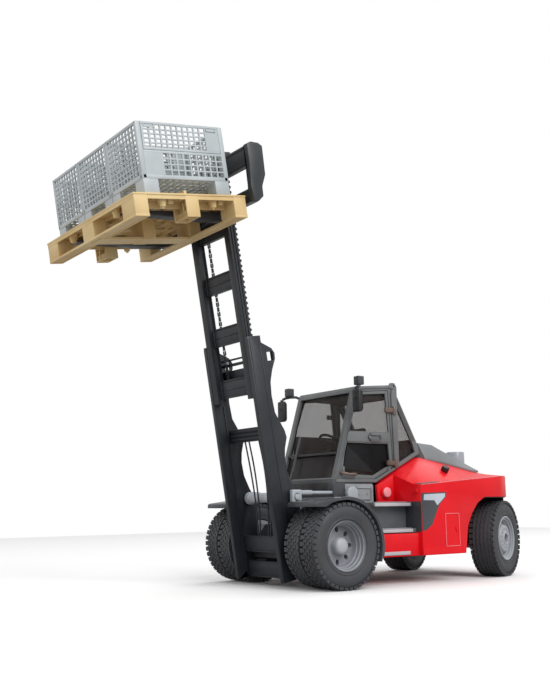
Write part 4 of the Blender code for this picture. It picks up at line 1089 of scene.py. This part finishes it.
def cover_details():
    """Pads, knob seats and screws on the cover under the cab, and the dark apron before it."""
    parts = []
    for sign in (-1.0, 1.0):
        pad = rounded(side_block("pad", sign, CAB_SIDE, 40.6, (45.0, 72.0), (63.0, 83.0)), 0.4)
        parts.append(sunk(pad, facing(0, sign), 0.8, -0.4))
        seat = peg("seat", sign, 39.8, 40.4, (38.0, 77.5), 7.2, 28)
        parts.append(cut(seat, peg("hole", sign, 35.0, 45.0, (38.0, 77.5), 3.2, 24)))
        for y in (49.0, 59.0):
            parts.append(peg("screw", sign, 40.2, 40.8, (y, 77.5), 1.1, 14))
    finished(joined("cover_trim", *parts), CHASSIS, "truck", "panel_grey")
    apron = rounded(block("apron", (-40.7, 19.4, 75.0), (40.7, 33.0, 90.2)), 0.6)
    for x in (-38.0, 38.0):
        cut(apron, bar("hole", (x, 10.0, 78.5), (x, 40.0, 78.5), 2.3, 20))
    pane = rounded(block("pane", (-33.0, 18.9, 80.0), (33.0, 20.0, 87.4)), 0.3)
    finished(apron, CHASSIS, "truck", "trim_grey", "dark_panel")
    finished(pane, CHASSIS, "truck", "tinted_glass")


def hood_details():
    """The ribs across the hood's slope and the ring at the foot of the exhaust."""
    parts = [rounded(block("seam", (-0.5, 130.0, 122.6), (0.5, 146.0, 124.7)), 0.2)]
    for x in (-22.0, -11.0, 11.0, 22.0):
        parts.append(rounded(block("rib", (x - 0.6, 130.0, 123.0), (x + 0.6, 145.0, 124.6)), 0.2))
    finished(joined("hood_ribs", *parts), CHASSIS, "truck", "panel_grey", "hood_grey")
    ring = turned("ring", [(9.3, 0.0), (10.6, 0.2), (10.9, 1.2), (10.4, 2.2), (9.3, 2.4)], 40)
    ring.data.transform(Matrix.Translation((0.0, 217.0, 92.6))
                        @ Matrix.Rotation(-math.pi / 2, 4, "Y"))
    finished(ring, CHASSIS, "truck", "light_plastic", "trim_grey")


def build_body():
    for node, width in (("body_shell", 0.9), ("chassis_frame", 0.5), ("base_cover", 0.3),
                        ("step_left", 0.3), ("step_right", 0.3)):
        carried(node, width)
    for side, _ in SIDES:
        carried(f"fender_{side}", 0.35, "dark_panel")
    carried("engine_hood", 0.9, "hood_grey")
    carried("exhaust_stack", 0.0, "clear_stack")
    for side, sign in SIDES:
        for fit in (step_strips, side_decal, side_fittings, dark_patches, side_highlights, arch_liner,
                    fender_trim):
            fit(side, sign)
    cover_details()
    hood_details()
    tail_grille()


build_wheels()
build_load()
build_mast()
build_cab()
build_body()


# ---------------------------------------------------------------- floor, light and camera

FLOOR_SIZE = 3.2
FLOOR_LIT, FLOOR_SEEN = 0.4, 0.96
ROOM_LIT, ROOM_SEEN = 0.66, 1.0
LAMPS = (("key", (1.6, -0.1, 1.3), 1.2, 24.0), ("fill", (-0.5, -1.7, 1.0), 1.2, 7.0),
         ("back", (-0.4, 1.2, 1.8), 1.4, 10.0))
AIM = (0.0, 0.0, 0.12)
EYE = (0.65103, -0.50858, 0.06712)
AZIMUTH, PITCH, ROLL = (math.radians(angle) for angle in (53.737, 9.769, -0.833))
LENS, SENSOR = 46.83, 36.0


def lit_or_seen(tree, lit, seen):
    """One level for the light that a surface gives back, and one for what is seen of it."""
    direct = tree.nodes.new("ShaderNodeLightPath").outputs["Is Camera Ray"]
    return ranged(tree, direct, lit, seen, 0.0, 1.0)


def studio():
    let_go()
    bpy.ops.mesh.primitive_plane_add(size=FLOOR_SIZE, location=(0.0, 0.0, 0.0))
    floor = settle("floor")
    pale = bpy.data.materials.new("pale_floor")
    pale.use_nodes = True
    shader = pale.node_tree.nodes["Principled BSDF"]
    tone = lit_or_seen(pale.node_tree, FLOOR_LIT, FLOOR_SEEN)
    pale.node_tree.links.new(tone, shader.inputs["Base Color"])
    shader.inputs["Roughness"].default_value = 0.9
    floor.data.materials.append(pale)
    world = bpy.context.scene.world or bpy.data.worlds.new("room")
    bpy.context.scene.world = world
    world.use_nodes = True
    sky = world.node_tree.nodes["Background"]
    sky.inputs["Color"].default_value = (1.0, 1.0, 1.0, 1.0)
    world.node_tree.links.new(lit_or_seen(world.node_tree, ROOM_LIT, ROOM_SEEN),
                              sky.inputs["Strength"])
    for name, place, size, power in LAMPS:
        lamp = bpy.data.lights.new(name, "AREA")
        lamp.size = size
        lamp.energy = power
        item = bpy.data.objects.new(name, lamp)
        bpy.context.scene.collection.objects.link(item)
        item.location = place
        aim = Vector(AIM) - Vector(place)
        item.rotation_euler = aim.to_track_quat("-Z", "Y").to_euler()


def camera():
    """A low three-quarter view from the driver's front left."""
    forward = Vector((-math.sin(AZIMUTH) * math.cos(PITCH), math.cos(AZIMUTH) * math.cos(PITCH),
                      math.sin(PITCH)))
    right = Vector((math.cos(AZIMUTH), math.sin(AZIMUTH), 0.0))
    up = right.cross(forward)
    across = right * math.cos(ROLL) + up * math.sin(ROLL)
    upward = up * math.cos(ROLL) - right * math.sin(ROLL)
    lens = bpy.data.cameras.new("view")
    lens.lens = LENS
    lens.sensor_width = SENSOR
    lens.clip_start = 0.01
    item = bpy.data.objects.new("view", lens)
    bpy.context.scene.collection.objects.link(item)
    turn = Matrix((across, upward, -forward)).transposed().to_4x4()
    item.matrix_world = Matrix.Translation(EYE) @ turn
    bpy.context.scene.camera = item


studio()
camera()
bpy.context.scene.view_settings.view_transform = "Standard"
let_go()
